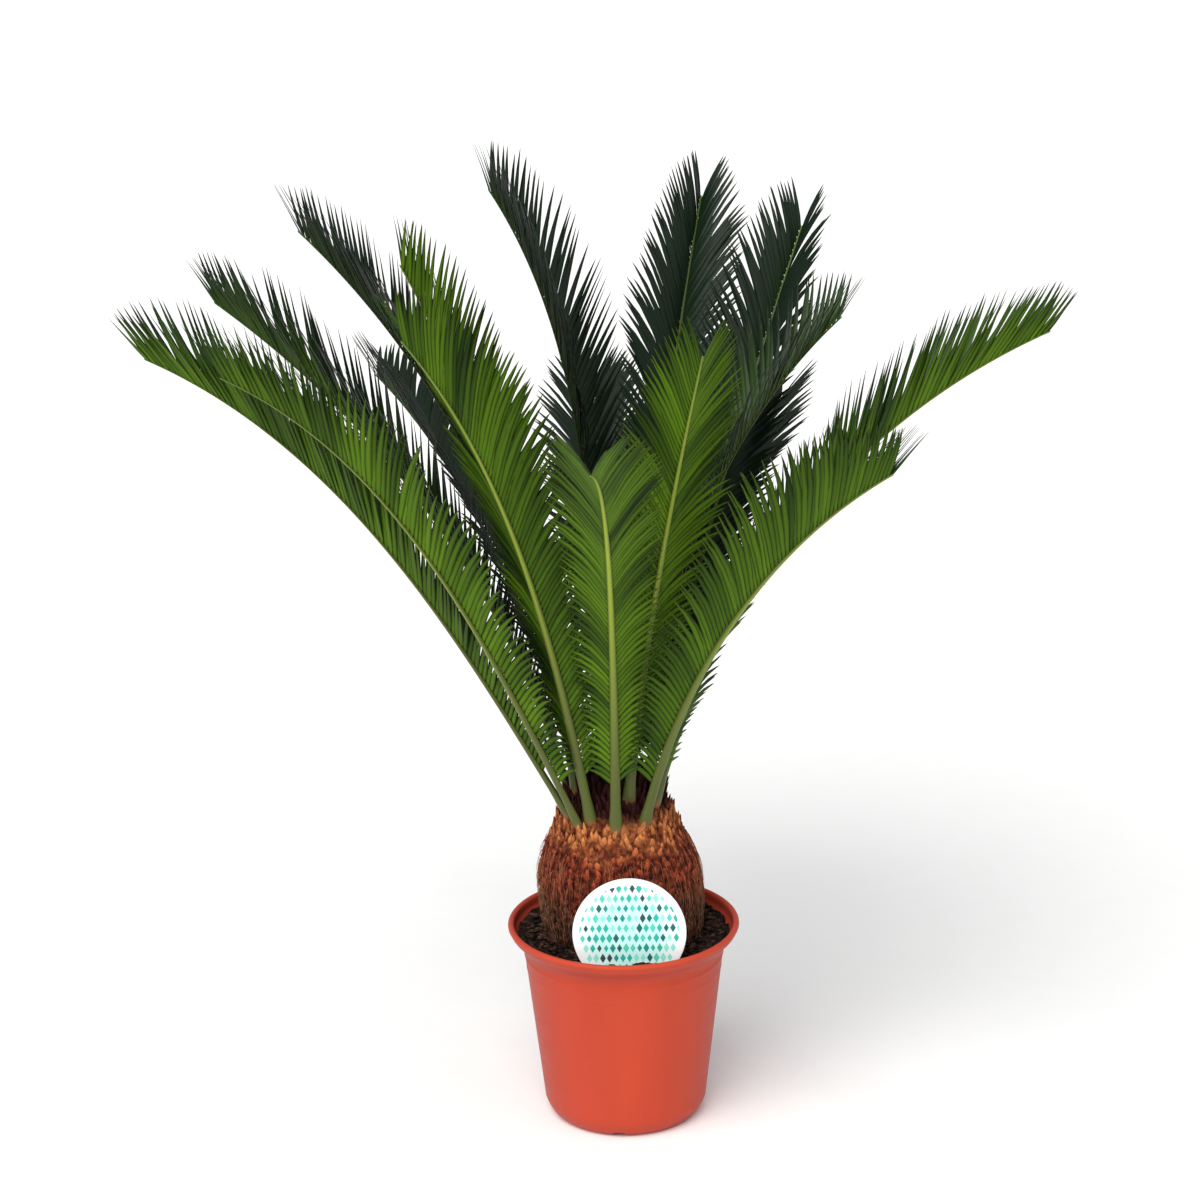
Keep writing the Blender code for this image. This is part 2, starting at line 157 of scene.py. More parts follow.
# %% Noise and small vector helpers
def ripple(points, size, seed, waves=28):
    """Sum of sine waves of about this size in seeded directions, over the root of their number.

    It runs from about -1 to 1.
    """
    dice = np.random.default_rng(seed)
    heading = dice.normal(size=(waves, 3))
    length = np.linalg.norm(heading, axis=1)[:, None]
    heading *= (2.0 * math.pi / size) * dice.uniform(0.6, 1.5, (waves, 1)) / length
    phase = dice.uniform(0.0, 2.0 * math.pi, waves)
    return np.sin(points @ heading.T + phase).sum(axis=-1) / math.sqrt(waves)


def unit(vectors):
    """Each vector divided by its length."""
    return vectors / np.linalg.norm(vectors, axis=-1, keepdims=True)


def ramp(value, low, high):
    """0 below low, 1 above high, and a smooth step (3t^2 - 2t^3) between them."""
    t = np.clip((value - low) / (high - low), 0.0, 1.0)
    return t * t * (3.0 - 2.0 * t)


def circle(corners):
    """Angles of evenly spaced corners, anticlockwise, with their cosines and sines."""
    turn = np.linspace(0.0, 2.0 * math.pi, corners, endpoint=False)
    return turn, np.cos(turn), np.sin(turn)


def ellipses(side, face, width, depth, corners):
    """Rings about a line: side * width * cos + face * depth * sin at each of its stations.

    side and face are (tube, 3), width and depth (tube, station), and the rings (tube, station, corner, 3).
    """
    _, cos, sin = circle(corners)
    return (side[:, None, None] * width[:, :, None, None] * cos[:, None]
            + face[:, None, None] * depth[:, :, None, None] * sin[:, None])


# %% [markdown]
# ## Materials
#
# Each finish is a Principled shader with its own colours. What several of them share is built once as a
# node group: one for leaflets and ribs, whose lines run along the leaf and which also paints shade on their
# edges and on the back fronds, and "flecks" for bark, scales, fibre and soil, which break a colour up into
# patches and grains. A group hands out a colour and a height, and the shader stays outside. Only the pot's
# painted shade at its edges follows where the camera stands, and anything that is the same all over sits on
# the shader itself.

# %% Node helpers
def node(tree, kind, links=(), **settings):
    """Adds a node, sets its own settings, and feeds its inputs.

    links maps an input's name or number to a socket, which is linked, or to a value, which is set.
    """
    made = tree.nodes.new(kind)
    for key, value in settings.items():
        setattr(made, key, value)
    for key, value in dict(links).items():
        if isinstance(value, bpy.types.NodeSocket):
            tree.links.new(value, made.inputs[key])
        else:
            made.inputs[key].default_value = value
    return made


def math_node(tree, operation, *values, clamp=False):
    """A Math node of one operation, as its output socket."""
    return node(tree, "ShaderNodeMath", enumerate(values), operation=operation, use_clamp=clamp).outputs[0]


def mix_colour(tree, share, low, high, blend="MIX"):
    """A colour between two, as an output socket. The Mix node keeps its colours at inputs 6 and 7."""
    links = {0: share, 6: low, 7: high}
    return node(tree, "ShaderNodeMix", links, data_type="RGBA", blend_type=blend).outputs[2]


def noise(tree, place, scale, detail):
    """Noise between 0 and 1 over a place, as an output socket."""
    links = {"Vector": place, "Scale": scale, "Detail": detail}
    return node(tree, "ShaderNodeTexNoise", links).outputs["Fac"]


def map_range(tree, value, low, high, kind="LINEAR"):
    """0 below low, 1 above high, and a straight or smooth step between, as an output socket."""
    return node(tree, "ShaderNodeMapRange", {0: value, 1: low, 2: high}, interpolation_type=kind).outputs[0]


def own_place(tree, stretch=None):
    """A point's place on its own piece, in metres, with each axis multiplied by stretch."""
    place = node(tree, "ShaderNodeTexCoord").outputs["Object"]
    if stretch:
        place = node(tree, "ShaderNodeMapping", {"Vector": place, "Scale": stretch}).outputs[0]
    return place


def attribute(tree, name):
    """The value that a piece keeps under this name on its points."""
    return node(tree, "ShaderNodeAttribute", attribute_name=name).outputs["Fac"]


def rgb(red, green, blue):
    """A colour as a socket takes it, opaque."""
    return (red, green, blue, 1.0)


# %% Materials and groups
def finish(name, roughness, specular):
    """A new material: the material, its node tree and its Principled shader."""
    made = bpy.data.materials.new(name)
    made.use_nodes = True
    shader = made.node_tree.nodes["Principled BSDF"]
    shader.inputs["Roughness"].default_value = roughness
    shader.inputs["Specular IOR Level"].default_value = specular
    return made, made.node_tree, shader


def bump(tree, shader, height, strength, distance):
    """A Bump node between a height and the shader's Normal."""
    made = node(tree, "ShaderNodeBump", {"Height": height, "Strength": strength, "Distance": distance})
    tree.links.new(made.outputs["Normal"], shader.inputs["Normal"])


def make_group(name, colours, numbers):
    """A shader node group that puts out a Color and a Height, and its in and out nodes."""
    group = bpy.data.node_groups.new(name, "ShaderNodeTree")
    for kind, sockets in (("NodeSocketColor", colours), ("NodeSocketFloat", numbers)):
        for label, value in sockets.items():
            group.interface.new_socket(label, in_out="INPUT", socket_type=kind).default_value = value
    group.interface.new_socket("Color", in_out="OUTPUT", socket_type="NodeSocketColor")
    group.interface.new_socket("Height", in_out="OUTPUT", socket_type="NodeSocketFloat")
    return group, group.nodes.new("NodeGroupInput"), group.nodes.new("NodeGroupOutput")


# %% The two shared groups
def build_veins():
    """Fine lines along a leaf: noise drawn out along it, over a slow change from leaf to leaf.

    Across is the place across the leaf, Tone its own number, which is low on the back fronds to paint them in
    shade. The first two colours are the two ends of the colour range: the old end, which is also the painted
    shade, and the freshest, lit end. Fade is how much older a leaf looks at its end than at its joint, and
    the margin number how much painted shade darkens its two edges. Tip is the colour of its very end.
    """
    colours = {"Old": rgb(0, 0, 0), "Fresh": rgb(1, 1, 1), "Tip": rgb(0.2, 0.15, 0.05)}
    group, ins, outs = make_group("veins_and_shade", colours, {"Lines": 0.25, "Fade": 0.0, "Margin": 0.0})
    tone, across, reach = (attribute(group, key) for key in ("tone", "across", "reach"))
    drawn_out = {0: math_node(group, "MULTIPLY", across, 3.0), 1: math_node(group, "MULTIPLY", tone, 57.0),
                 2: math_node(group, "MULTIPLY", reach, 1.5)}
    place = node(group, "ShaderNodeCombineXYZ", drawn_out).outputs[0]
    lines = math_node(group, "SUBTRACT", noise(group, place, 2.5, 2.0), 0.5)
    share = math_node(group, "MULTIPLY_ADD", lines, ins.outputs["Lines"], tone)
    worn = math_node(group, "MULTIPLY", math_node(group, "MULTIPLY", reach, reach), ins.outputs["Fade"])
    share = math_node(group, "SUBTRACT", share, worn, clamp=True)
    colour = mix_colour(group, share, ins.outputs["Old"], ins.outputs["Fresh"])
    # Painted shade: both edges are darkened towards near-black, where leaflets shade each other and a rib
    # rounds away.
    edge = map_range(group, math_node(group, "ABSOLUTE", across), 0.35, 1.0)
    edge = math_node(group, "MULTIPLY", edge, ins.outputs["Margin"])
    colour = mix_colour(group, edge, colour, rgb(0.001, 0.003, 0.001))
    tip = math_node(group, "MULTIPLY", math_node(group, "POWER", reach, 14.0), 0.75, clamp=True)
    colour = mix_colour(group, tip, colour, ins.outputs["Tip"])
    group.links.new(colour, outs.inputs["Color"])
    group.links.new(lines, outs.inputs["Height"])
    return group


def build_flecks():
    """Patches and grains: coarse noise chooses between two colours, fine noise shades and roughens them."""
    group, ins, outs = make_group("flecks", {"Dark": rgb(0, 0, 0), "Light": rgb(1, 1, 1)},
                                  {"Patch Scale": 120.0, "Grain Scale": 900.0, "Bias": 0.0})
    place = own_place(group)
    patch = noise(group, place, ins.outputs["Patch Scale"], 3.0)
    grain = noise(group, place, ins.outputs["Grain Scale"], 4.0)
    share = math_node(group, "SUBTRACT", patch, 0.5)
    share = math_node(group, "MULTIPLY_ADD", share, 3.2, ins.outputs["Bias"])
    share = math_node(group, "ADD", share, grain, clamp=True)
    colour = mix_colour(group, share, ins.outputs["Dark"], ins.outputs["Light"])
    group.links.new(colour, outs.inputs["Color"])
    group.links.new(grain, outs.inputs["Height"])
    return group


veins_and_shade = build_veins()
flecks = build_flecks()
print("node groups:", veins_and_shade.name, "and", flecks.name)

# %% [markdown]
# ## The pot
#
# A nursery pot is moulded from thin red-brown plastic: a tapering wall, a rim that flares out and rolls
# over, a few moulding rings under it, and a slanting foot with grooves that let water out. It could be a
# Screw modifier on a drawn outline, but the grooves need the foot to change with the angle. So the outline
# is a list of radii and heights turned about the axis, and the foot's rings are lifted where a groove passes.

# %% Pot sizes
POT_HEIGHT = 0.150
RIM_RADIUS = 0.085            # outer edge of the flared rim
WALL_TOP = 0.0730             # radius of the wall just below the rim
WALL_FOOT = 0.0598            # radius of the wall just above the foot
FOOT_RADIUS = 0.0510          # flat ring that the pot stands on
FOOT_HEIGHT = 0.012           # height of the slanting foot
WALL = 0.0016                 # thickness of the wall
RIM_WALL = 0.0040             # thickness of the flare at the rim
FLOOR = 0.0050                # thickness of the pot's floor
RIM_DROP = 0.024              # how far the flare reaches down from the top
LIP = 0.0023                  # radius of the rolled lip
AXIS_HOLE = 0.004             # first ring round the axis, closed by a point
GROOVES = 6                   # drainage grooves under the foot
GROOVE_WIDTH = 0.009
GROOVE_DEPTH = 0.0034
GROOVE_START = math.radians(264.0)
BEADS = ((0.1262, 0.00050), (0.1215, 0.00035), (0.1150, 0.00030))    # height and size of each moulding ring
BEAD_WIDTH = 0.0008
POT_CORNERS = 240


# %% Pot outline
def pot_wall(height):
    """Straight line from the wall's radius above the foot to its radius under the rim."""
    return np.interp(height, [FOOT_HEIGHT, POT_HEIGHT - RIM_DROP], [WALL_FOOT, WALL_TOP])


def moulding_rings(height):
    """Three low beads, each a narrow bell exp(-x^2) over the height."""
    return sum(size * np.exp(-((height - at) / BEAD_WIDTH) ** 2) for at, size in BEADS)


def flare(inside):
    """Half a cosine wave outwards and upwards from the wall to the rim, set in by its thickness inside."""
    t = np.linspace(0.0, 1.0, 18)[1:]
    swell = 0.5 - 0.5 * np.cos(math.pi * t ** 1.5)
    radius = WALL_TOP + (RIM_RADIUS - 0.001 - WALL_TOP) * swell
    inset = (WALL + (RIM_WALL - WALL) * t * t) if inside else 0.0 * t
    return np.stack([radius - inset, POT_HEIGHT - RIM_DROP + t * (RIM_DROP - 0.004)], axis=-1)


def pot_outline():
    """Radius and height from under the pot, up the outside, round the lip and down the inside."""
    under = np.stack([np.linspace(AXIS_HOLE, FOOT_RADIUS, 9), np.zeros(9)], axis=-1)
    foot = np.array([(0.0526, 0.0007), (0.0542, 0.0022), (0.0560, 0.0040), (0.0578, 0.0072),
                     (0.0592, 0.0103)])
    up = np.linspace(FOOT_HEIGHT, POT_HEIGHT - RIM_DROP, 64)
    wall = np.stack([pot_wall(up) + moulding_rings(up), up], axis=-1)
    turn = np.linspace(-0.35, math.pi, 12)
    lip = np.stack([RIM_RADIUS - LIP + LIP * np.cos(turn), POT_HEIGHT - LIP + LIP * np.sin(turn)], axis=-1)
    inner = flare(inside=True)[::-1]
    down = np.linspace(POT_HEIGHT - RIM_DROP - 0.002, FOOT_HEIGHT, 12)
    inside = np.stack([pot_wall(down) - WALL, down], axis=-1)
    floor = np.stack([np.linspace(FOOT_RADIUS + 0.002, AXIS_HOLE, 6), np.full(6, FLOOR)], axis=-1)
    return np.concatenate([under, foot, wall, flare(inside=False), lip, inner, inside, floor])


print("pot outline:", len(pot_outline()), "points, reaching", pot_outline().max(axis=0), "m")

# %% Turn the pot
def turned(outline, corners, wobble=None):
    """Each outline point carried round the axis: (radius cos, radius sin, height), closed at the axis."""
    turn, cos, sin = circle(corners)
    radius, height = outline[:, :1], outline[:, 1:]
    rings = np.stack([radius * cos, radius * sin, height + 0.0 * cos], axis=-1)
    if wobble:
        rings = wobble(rings, turn)
    first, last = (rings[i].mean(axis=0) for i in (0, -1))
    return tubes(rings[None], first[None], last[None])


def cut_grooves(rings, turn):
    """Lifts the low rings to the groove's depth where the place round the foot falls inside a groove."""
    radius = np.hypot(rings[..., 0], rings[..., 1])
    step = 2.0 * math.pi / GROOVES
    off = (turn - GROOVE_START + step / 2.0) % step - step / 2.0
    half = GROOVE_WIDTH / 2.0
    share = 1.0 - ramp(np.abs(off)[None] * radius, half - 0.0012, half + 0.0004)
    share = share * ramp(radius, 0.030, 0.040)
    low = rings[..., 2] < GROOVE_DEPTH
    rings[..., 2] = np.where(low, np.maximum(rings[..., 2], GROOVE_DEPTH * share), rings[..., 2])
    return rings


def plastic_finish():
    """Satin red-brown plastic: faint upright clouds, painted shade with a pinkish painted reflection where it
    turns away from the camera, and dull scuffs.
    """
    made, tree, shader = finish("terracotta plastic", 0.45, specular=0.16)
    cloud = noise(tree, own_place(tree, (1.0, 1.0, 0.15)), 26.0, 3.0)
    scuff = noise(tree, own_place(tree, (1.0, 1.0, 7.0)), 60.0, 5.0)
    colour = mix_colour(tree, cloud, rgb(0.46, 0.050, 0.022), rgb(0.60, 0.066, 0.024))
    # Painted shade and a pinkish painted reflection: the colour darkens towards the outline seen from the
    # camera.
    painted_edge_shade = node(tree, "ShaderNodeLayerWeight", {"Blend": 0.30}).outputs["Facing"]
    colour = mix_colour(tree, math_node(tree, "MULTIPLY", painted_edge_shade, 0.8), colour, rgb(0.32, 0.048, 0.042))
    tree.links.new(colour, shader.inputs["Base Color"])
    tree.links.new(math_node(tree, "MULTIPLY_ADD", scuff, 0.20, 0.36), shader.inputs["Roughness"])
    bump(tree, shader, scuff, 0.08, 0.0004)
    return made


make_piece("pot_shell", turned(pot_outline(), POT_CORNERS, cut_grooves), "terracotta_plastic", ["pot"],
           [plastic_finish()])

# %% [markdown]
# ## The soil
#
# The pot is filled with a dark mix of bark and peat to about a centimetre under the rim. Only a ring of it
# shows round the trunk. A flat disc with a bump map would look like paint at the edge where the light grazes
# it, so the top is a real uneven surface, and loose bits of bark and fibre lie on it.

# %% Soil surface
SOIL_TOP = 0.1415
SOIL_CORNERS = 200
SOIL_RINGS = 76


def pot_inside(height):
    """Inner radius of the pot: the straight wall's, then the flare's."""
    radius, level = flare(inside=True).T
    return np.interp(height, [FOOT_HEIGHT, POT_HEIGHT - RIM_DROP, *level],
                     [WALL_FOOT - WALL, WALL_TOP - WALL, *radius])


def soil_outline():
    """The plug: floor, side just inside the wall, then rings closing in over the top."""
    level = np.array([FOOT_HEIGHT + 0.0004, 0.060, 0.110, 0.126, 0.131, 0.136, 0.1395])
    base = np.array([(0.002, FLOOR + 0.0003), (FOOT_RADIUS, FLOOR + 0.0003)])
    side = np.stack([pot_inside(level) - 0.0007, level], axis=-1)
    rings = np.linspace(pot_inside(SOIL_TOP) - 0.0009, 0.001, SOIL_RINGS)
    top = np.stack([rings, np.full(SOIL_RINGS, SOIL_TOP - 0.0010)], axis=-1)
    return np.concatenate([base, side, top])


def crumble(rings, turn):
    """Adds three sizes of noise to the height of the top, and piles it up a little towards the wall."""
    top = rings[..., 2] > SOIL_TOP - 0.0012
    flat = rings * (1.0, 1.0, 0.0)
    lumpy = 0.0011 * ripple(flat, 0.022, 3) + 0.0007 * ripple(flat, 0.008, 4)
    lumpy = lumpy + 0.0005 * ripple(flat, 0.0035, 5)
    pile = 0.0016 * ramp(np.hypot(rings[..., 0], rings[..., 1]), 0.064, 0.078)
    rings[..., 2] += np.where(top, lumpy + pile, 0.0)
    return rings


def earth_finish(name, dark, light, patch, grain, rough, by_tone=False):
    """Dull, broken-up earth or wood, with its grain raised."""
    made, tree, shader = finish(name, rough, specular=0.1)
    links = {"Dark": dark, "Light": light, "Patch Scale": patch, "Grain Scale": grain}
    if by_tone:
        links["Bias"] = math_node(tree, "SUBTRACT", attribute(tree, "tone"), 0.5)
    mixed = node(tree, "ShaderNodeGroup", links, node_tree=flecks)
    tree.links.new(mixed.outputs["Color"], shader.inputs["Base Color"])
    bump(tree, shader, mixed.outputs["Height"], 0.6, 0.0008)
    return made


soil_mix = earth_finish("damp potting soil", rgb(0.003, 0.003, 0.003), rgb(0.030, 0.017, 0.013),
                        160.0, 900.0, 0.9)
make_piece("soil", turned(soil_outline(), SOIL_CORNERS, crumble), "substrate", ["substrate"], [soil_mix])

# %% Bits of bark and fibre on the soil
CHIPS, CHIP_STATIONS, CHIP_CORNERS = 620, 4, 6
LABEL_SIDE = (0.004, 0.040, -0.058)    # strip before the label: its middle, half width and start
LABEL_SINK = 0.0022                    # how much lower the bits lie there, so none hides the label's foot


def lumps(centre, along, length, width, depth, dice):
    """Rounded bits, one round each centre: rings of an ellipse along a heading, narrowing to both ends by the
    root of a sine, each corner pushed in or out a little."""
    count = len(centre)
    t = np.linspace(0.08, 0.92, CHIP_STATIONS)
    swell = np.sin(math.pi * t) ** 0.5
    across = unit(np.cross(along, unit(dice.normal(size=(count, 3)) * 0.25 + (0.0, 0.0, 1.0))))
    up = np.cross(along, across)
    rough = dice.uniform(0.75, 1.2, (count, CHIP_STATIONS, CHIP_CORNERS, 1))
    middle = centre[:, None] + along[:, None] * (length[:, None] * (t - 0.5))[..., None]
    ring = ellipses(across, up, width[:, None] * swell, depth[:, None] * swell, CHIP_CORNERS)
    ends = [centre + along * (length * side)[:, None] for side in (-0.5, 0.5)]
    return tubes(middle[:, :, None] + ring * rough, *ends)


def lie_on_soil(count, dice, near, far, tilt):
    """Places and headings for loose bits: in a ring of the soil between two radii, each lying nearly flat."""
    turn = dice.uniform(0.0, 2.0 * math.pi, count)
    radius = np.sqrt(dice.uniform(near ** 2, far ** 2, count))
    level = np.full(count, SOIL_TOP + 0.0004)
    centre = np.stack([radius * np.cos(turn), radius * np.sin(turn), level], axis=-1)
    spin = dice.uniform(0.0, 2.0 * math.pi, count)
    along = unit(np.stack([np.cos(spin), np.sin(spin), dice.normal(0.0, tilt, count)], axis=-1))
    return centre, along


dice = np.random.default_rng(21)
centre, along = lie_on_soil(CHIPS, dice, 0.052, 0.0755, 0.25)
before_label = (np.abs(centre[:, 0] - LABEL_SIDE[0]) < LABEL_SIDE[1]) & (centre[:, 1] < LABEL_SIDE[2])
centre[:, 2] -= np.where(before_label, LABEL_SINK, 0.0)
length, width = dice.uniform(0.003, 0.011, CHIPS), dice.uniform(0.0009, 0.0024, CHIPS)
room = pot_inside(SOIL_TOP) - 0.0008 - np.hypot(centre[:, 0], centre[:, 1])
length = np.minimum(length, 0.003 + 1.6 * room)
chip_shape = lumps(centre, along, length, width, 0.55 * width, np.random.default_rng(22))
chip_tone = np.repeat(dice.uniform(0.0, 1.0, CHIPS) ** 2.2, CHIP_STATIONS * CHIP_CORNERS + 2)
chip_mix = earth_finish("bark chips", rgb(0.004, 0.003, 0.003), rgb(0.085, 0.040, 0.026),
                        260.0, 1400.0, 0.85, by_tone=True)
make_piece("bark_chips", chip_shape, "substrate", ["substrate"], [chip_mix], tone=chip_tone)

# %% [markdown]
# ## The trunk
#
# The trunk is a swollen cone of old leaf bases. It is a turned surface about an axis that leans a little,
# with a diamond relief pressed into it, and it is then clothed in real scales: every scale is a small
# flattened spike that grows out of the trunk and points up. A cycad sets its leaves by the golden angle, so
# the scales follow it too. Each next one stands 137.5 degrees further round, at a height that gives every
# scale the same patch of skin.

# %% Trunk outline and body
TRUNK_FOOT, TRUNK_HEAD = (0.0, 0.006), (-0.0065, 0.006)    # where the axis starts and ends, seen from above
TRUNK_START, TRUNK_TOP = 0.1420, 0.269
TRUNK_PROFILE = np.array([(0.1418, 0.0568), (0.155, 0.0586), (0.170, 0.0596), (0.180, 0.0598),
                          (0.1915, 0.0586), (0.200, 0.0566), (0.209, 0.0535), (0.220, 0.0483),
                          (0.2295, 0.0438), (0.239, 0.0380), (0.250, 0.0340), (0.260, 0.0270),
                          (0.266, 0.0140), (TRUNK_TOP, 0.0)])
TRUNK_CORNERS = 300


def trunk_axis(height):
    """Centre at a height: a straight line from the foot's centre to the head's."""
    t = (np.asarray(height) - TRUNK_PROFILE[0, 0]) / (TRUNK_TOP - TRUNK_PROFILE[0, 0])
    return np.stack([TRUNK_FOOT[k] + (TRUNK_HEAD[k] - TRUNK_FOOT[k]) * t for k in (0, 1)], axis=-1)


def trunk_radius(height):
    """Radius at a height: straight lines between the profile's points."""
    return np.interp(height, TRUNK_PROFILE[:, 0], TRUNK_PROFILE[:, 1])


def trunk_skin(turn, height, out=0.0):
    """Point on the trunk at an angle and a height, moved outwards."""
    centre = trunk_axis(height)
    radius = trunk_radius(height) + out
    return np.stack([centre[..., 0] + radius * np.cos(turn), centre[..., 1] + radius * np.sin(turn),
                     height + 0.0 * turn], axis=-1)


def trunk_body():
    """The outline carried round the leaning axis. The relief is a lattice of two crossing spirals, 21 one way
    and 13 the other, whose product of sines is high on the diamonds and low in the creases."""
    height = np.concatenate([np.linspace(TRUNK_START, 0.262, 134), [0.264, 0.266, 0.2675, 0.2685]])[:, None]
    turn = circle(TRUNK_CORNERS)[0][None]
    wave = np.sin(21 * turn + 620 * height) * np.sin(13 * turn - 620 * height)
    skin = trunk_skin(turn, height + 0.0 * turn)
    relief = 0.0006 * wave + 0.0007 * ripple(skin, 0.020, 31) + 0.0004 * ripple(skin, 0.006, 32) - 0.0012
    fade = 1.0 - ramp(height, 0.255, 0.266)
    rings = trunk_skin(turn, height + 0.0 * turn, relief * fade)
    ends = np.array([[*trunk_axis(h), h] for h in (TRUNK_START, TRUNK_TOP)])
    return tubes(rings[None], ends[:1], ends[1:])


# %% Bark finish
BARK_ZONES = ((0.160, 0.195), (0.208, 0.228), (0.231, 0.246))    # heights at which foot, middle and crown end


def bark_finish(name, rough, crown, middle, foot):
    """Colour by height, from the foot through red-brown to the crown's wool and a painted shade at its heart,
    among the fronds' feet, with flecks.

    The border between two zones wanders, because noise is added to the height. Painted shade then darkens the
    colour by an attribute that is 0 in the creases and 1 on what stands out. Tone is each scale's own tone,
    at random.
    """
    made, tree, shader = finish(name, rough, specular=0.08)
    place = own_place(tree)
    height = node(tree, "ShaderNodeSeparateXYZ", {0: place}).outputs[2]
    wander = math_node(tree, "SUBTRACT", noise(tree, place, 55.0, 4.0), 0.5)
    height = math_node(tree, "MULTIPLY_ADD", wander, 0.030, height)
    bias = math_node(tree, "SUBTRACT", attribute(tree, "tone"), 0.5)
    links = {"Patch Scale": 210.0, "Grain Scale": 1500.0, "Bias": bias}
    zones = ({"Dark": dark, "Light": light, **links} for dark, light in (foot, middle, crown))
    foot, middle, crown = (node(tree, "ShaderNodeGroup", zone, node_tree=flecks) for zone in zones)
    colour = foot.outputs["Color"]
    for (low, high), above in zip(BARK_ZONES, (middle.outputs["Color"], crown.outputs["Color"], PAINTED_HEART_SHADE)):
        colour = mix_colour(tree, map_range(tree, height, low, high, "SMOOTHSTEP"), colour, above)
    # Painted shade: darker in the creases of the trunk and at the root of each scale.
    shade = math_node(tree, "MULTIPLY_ADD", attribute(tree, "lift"), 0.75, 0.30, clamp=True)
    shade = node(tree, "ShaderNodeCombineColor", {0: shade, 1: shade, 2: shade}).outputs[0]
    tree.links.new(mix_colour(tree, 1.0, colour, shade, blend="MULTIPLY"), shader.inputs["Base Color"])
    bump(tree, shader, middle.outputs["Height"], 0.7, 0.0010)
    return made


# Painted shade: the top of the crown, in shade among the fronds' feet, is painted a near-black maroon.
PAINTED_HEART_SHADE = rgb(0.040, 0.011, 0.010)
CROWN = (rgb(0.20, 0.045, 0.018), rgb(0.74, 0.26, 0.085))
MIDDLE = (rgb(0.060, 0.011, 0.009), rgb(0.42, 0.072, 0.030))
FOOT = (rgb(0.035, 0.012, 0.008), rgb(0.17, 0.060, 0.032))
bark = bark_finish("old leaf bases", 0.85, CROWN, MIDDLE, FOOT)
body = trunk_body()
# The body shows only in the creases between scales, so it gets painted shade all over.
crease_shade = 0.35 * np.ones(len(body[0]))
make_piece("trunk_bark", body, "bark", ["trunk"], [bark], lift=crease_shade, tone=crease_shade)

# %% Scales by the golden angle
SCALES, SCALE_STATIONS, SCALE_CORNERS = 1700, 5, 6
LOWEST, HIGHEST = 0.1425, TRUNK_TOP - 0.0006    # heights between which the scales are rooted
SCALE_ROOT = 0.0020                             # how deep in the trunk a scale is rooted


def golden_places(count, dice):
    """Angles and heights of the scales: the golden angle from one to the next, and equal shares of skin."""
    height = np.linspace(LOWEST, HIGHEST, 800)
    radius = trunk_radius(height)
    skin = np.cumsum(np.hypot(np.gradient(height), np.gradient(radius)) * radius)
    share = (np.arange(count) + 0.5) / count
    place = np.interp(share, skin / skin[-1], height) + dice.normal(0.0, 0.0007, count)
    turn = np.arange(count) * math.pi * (3.0 - math.sqrt(5.0)) + dice.normal(0.0, 0.03, count)
    return turn, np.clip(place, LOWEST, HIGHEST)


def spikes(root, along, outward, length, width, depth, curl):
    """Flattened spikes: from each root along a heading that bends outwards by curl, in rings of an ellipse
    that swell to a third of the way and then run out to a point."""
    t = np.linspace(0.0, 0.9, SCALE_STATIONS)
    swell = (0.75 + 1.1 * t) * (1.0 - t ** 1.6) ** 0.9
    side = unit(np.cross(outward, along))
    face = unit(np.cross(along, side))
    bend = (curl[:, None] * t ** 2)[..., None] * length[:, None, None]
    line = root[:, None] + along[:, None] * (length[:, None] * t)[..., None] + outward[:, None] * bend
    ring = ellipses(side, face, width[:, None] * swell, depth[:, None] * swell, SCALE_CORNERS)
    tip = root + along * length[:, None] + outward * (curl * length)[:, None]
    return tubes(line[:, :, None] + ring, root - 0.1 * along * length[:, None], tip)


def scale_layout(count, dice):
    """Roots, headings and sizes of the scales. Those on the crown are longer and stand up; those near the
    foot are short and lie close."""
    turn, height = golden_places(count, dice)
    low, high = trunk_skin(turn, height - 0.0006), trunk_skin(turn, height + 0.0006)
    rise = unit(high - low)
    around = np.stack([-np.sin(turn), np.cos(turn), 0.0 * turn], axis=-1)
    outward = unit(np.cross(around, rise))
    crown = ramp(height, 0.205, 0.245)
    apex = ramp(height, 0.262, 0.2685)
    upright = np.array((0.0, 0.0, 1.0)) * (0.15 * crown + 1.2 * apex)[:, None]
    rise = unit(rise * (1.0 - 0.9 * apex)[:, None] + upright)
    stand = np.radians(9.0 + 14.0 * crown + dice.normal(0.0, 5.0, count))
    sway = np.radians(dice.normal(0.0, 13.0, count))
    along = rise * np.cos(stand)[:, None] + outward * np.sin(stand)[:, None]
    along = unit(along + around * np.tan(sway)[:, None])
    length = (0.0062 + 0.0058 * crown + 0.006 * apex) * dice.uniform(0.7, 1.3, count)
    width = (0.0026 - 0.0004 * crown) * dice.uniform(0.75, 1.2, count)
    depth = (0.0010 + 0.0002 * crown) * dice.uniform(0.7, 1.3, count)
    root = trunk_skin(turn, height, -SCALE_ROOT)
    curl = dice.normal(0.10, 0.10, count) * (0.4 + crown)
    return root, along, outward, length, width, depth, curl


dice = np.random.default_rng(41)
scale_shape = spikes(*scale_layout(SCALES, dice))
# Painted shade along each scale: dark at its root in the trunk, lit towards its tip.
lift = np.concatenate([np.repeat(np.linspace(0.0, 0.9, SCALE_STATIONS), SCALE_CORNERS), [0.0, 1.0]])
tone = dice.uniform(0.0, 1.0, SCALES)
make_piece("trunk_scales", scale_shape, "bark", ["trunk"], [bark],
           lift=np.tile(0.25 + 0.75 * lift ** 0.8, SCALES), tone=np.repeat(tone, len(lift)))

# %% Fibres that hang on the lower trunk
FIBRES, FIBRE_STATIONS, FIBRE_CORNERS = 1100, 8, 3


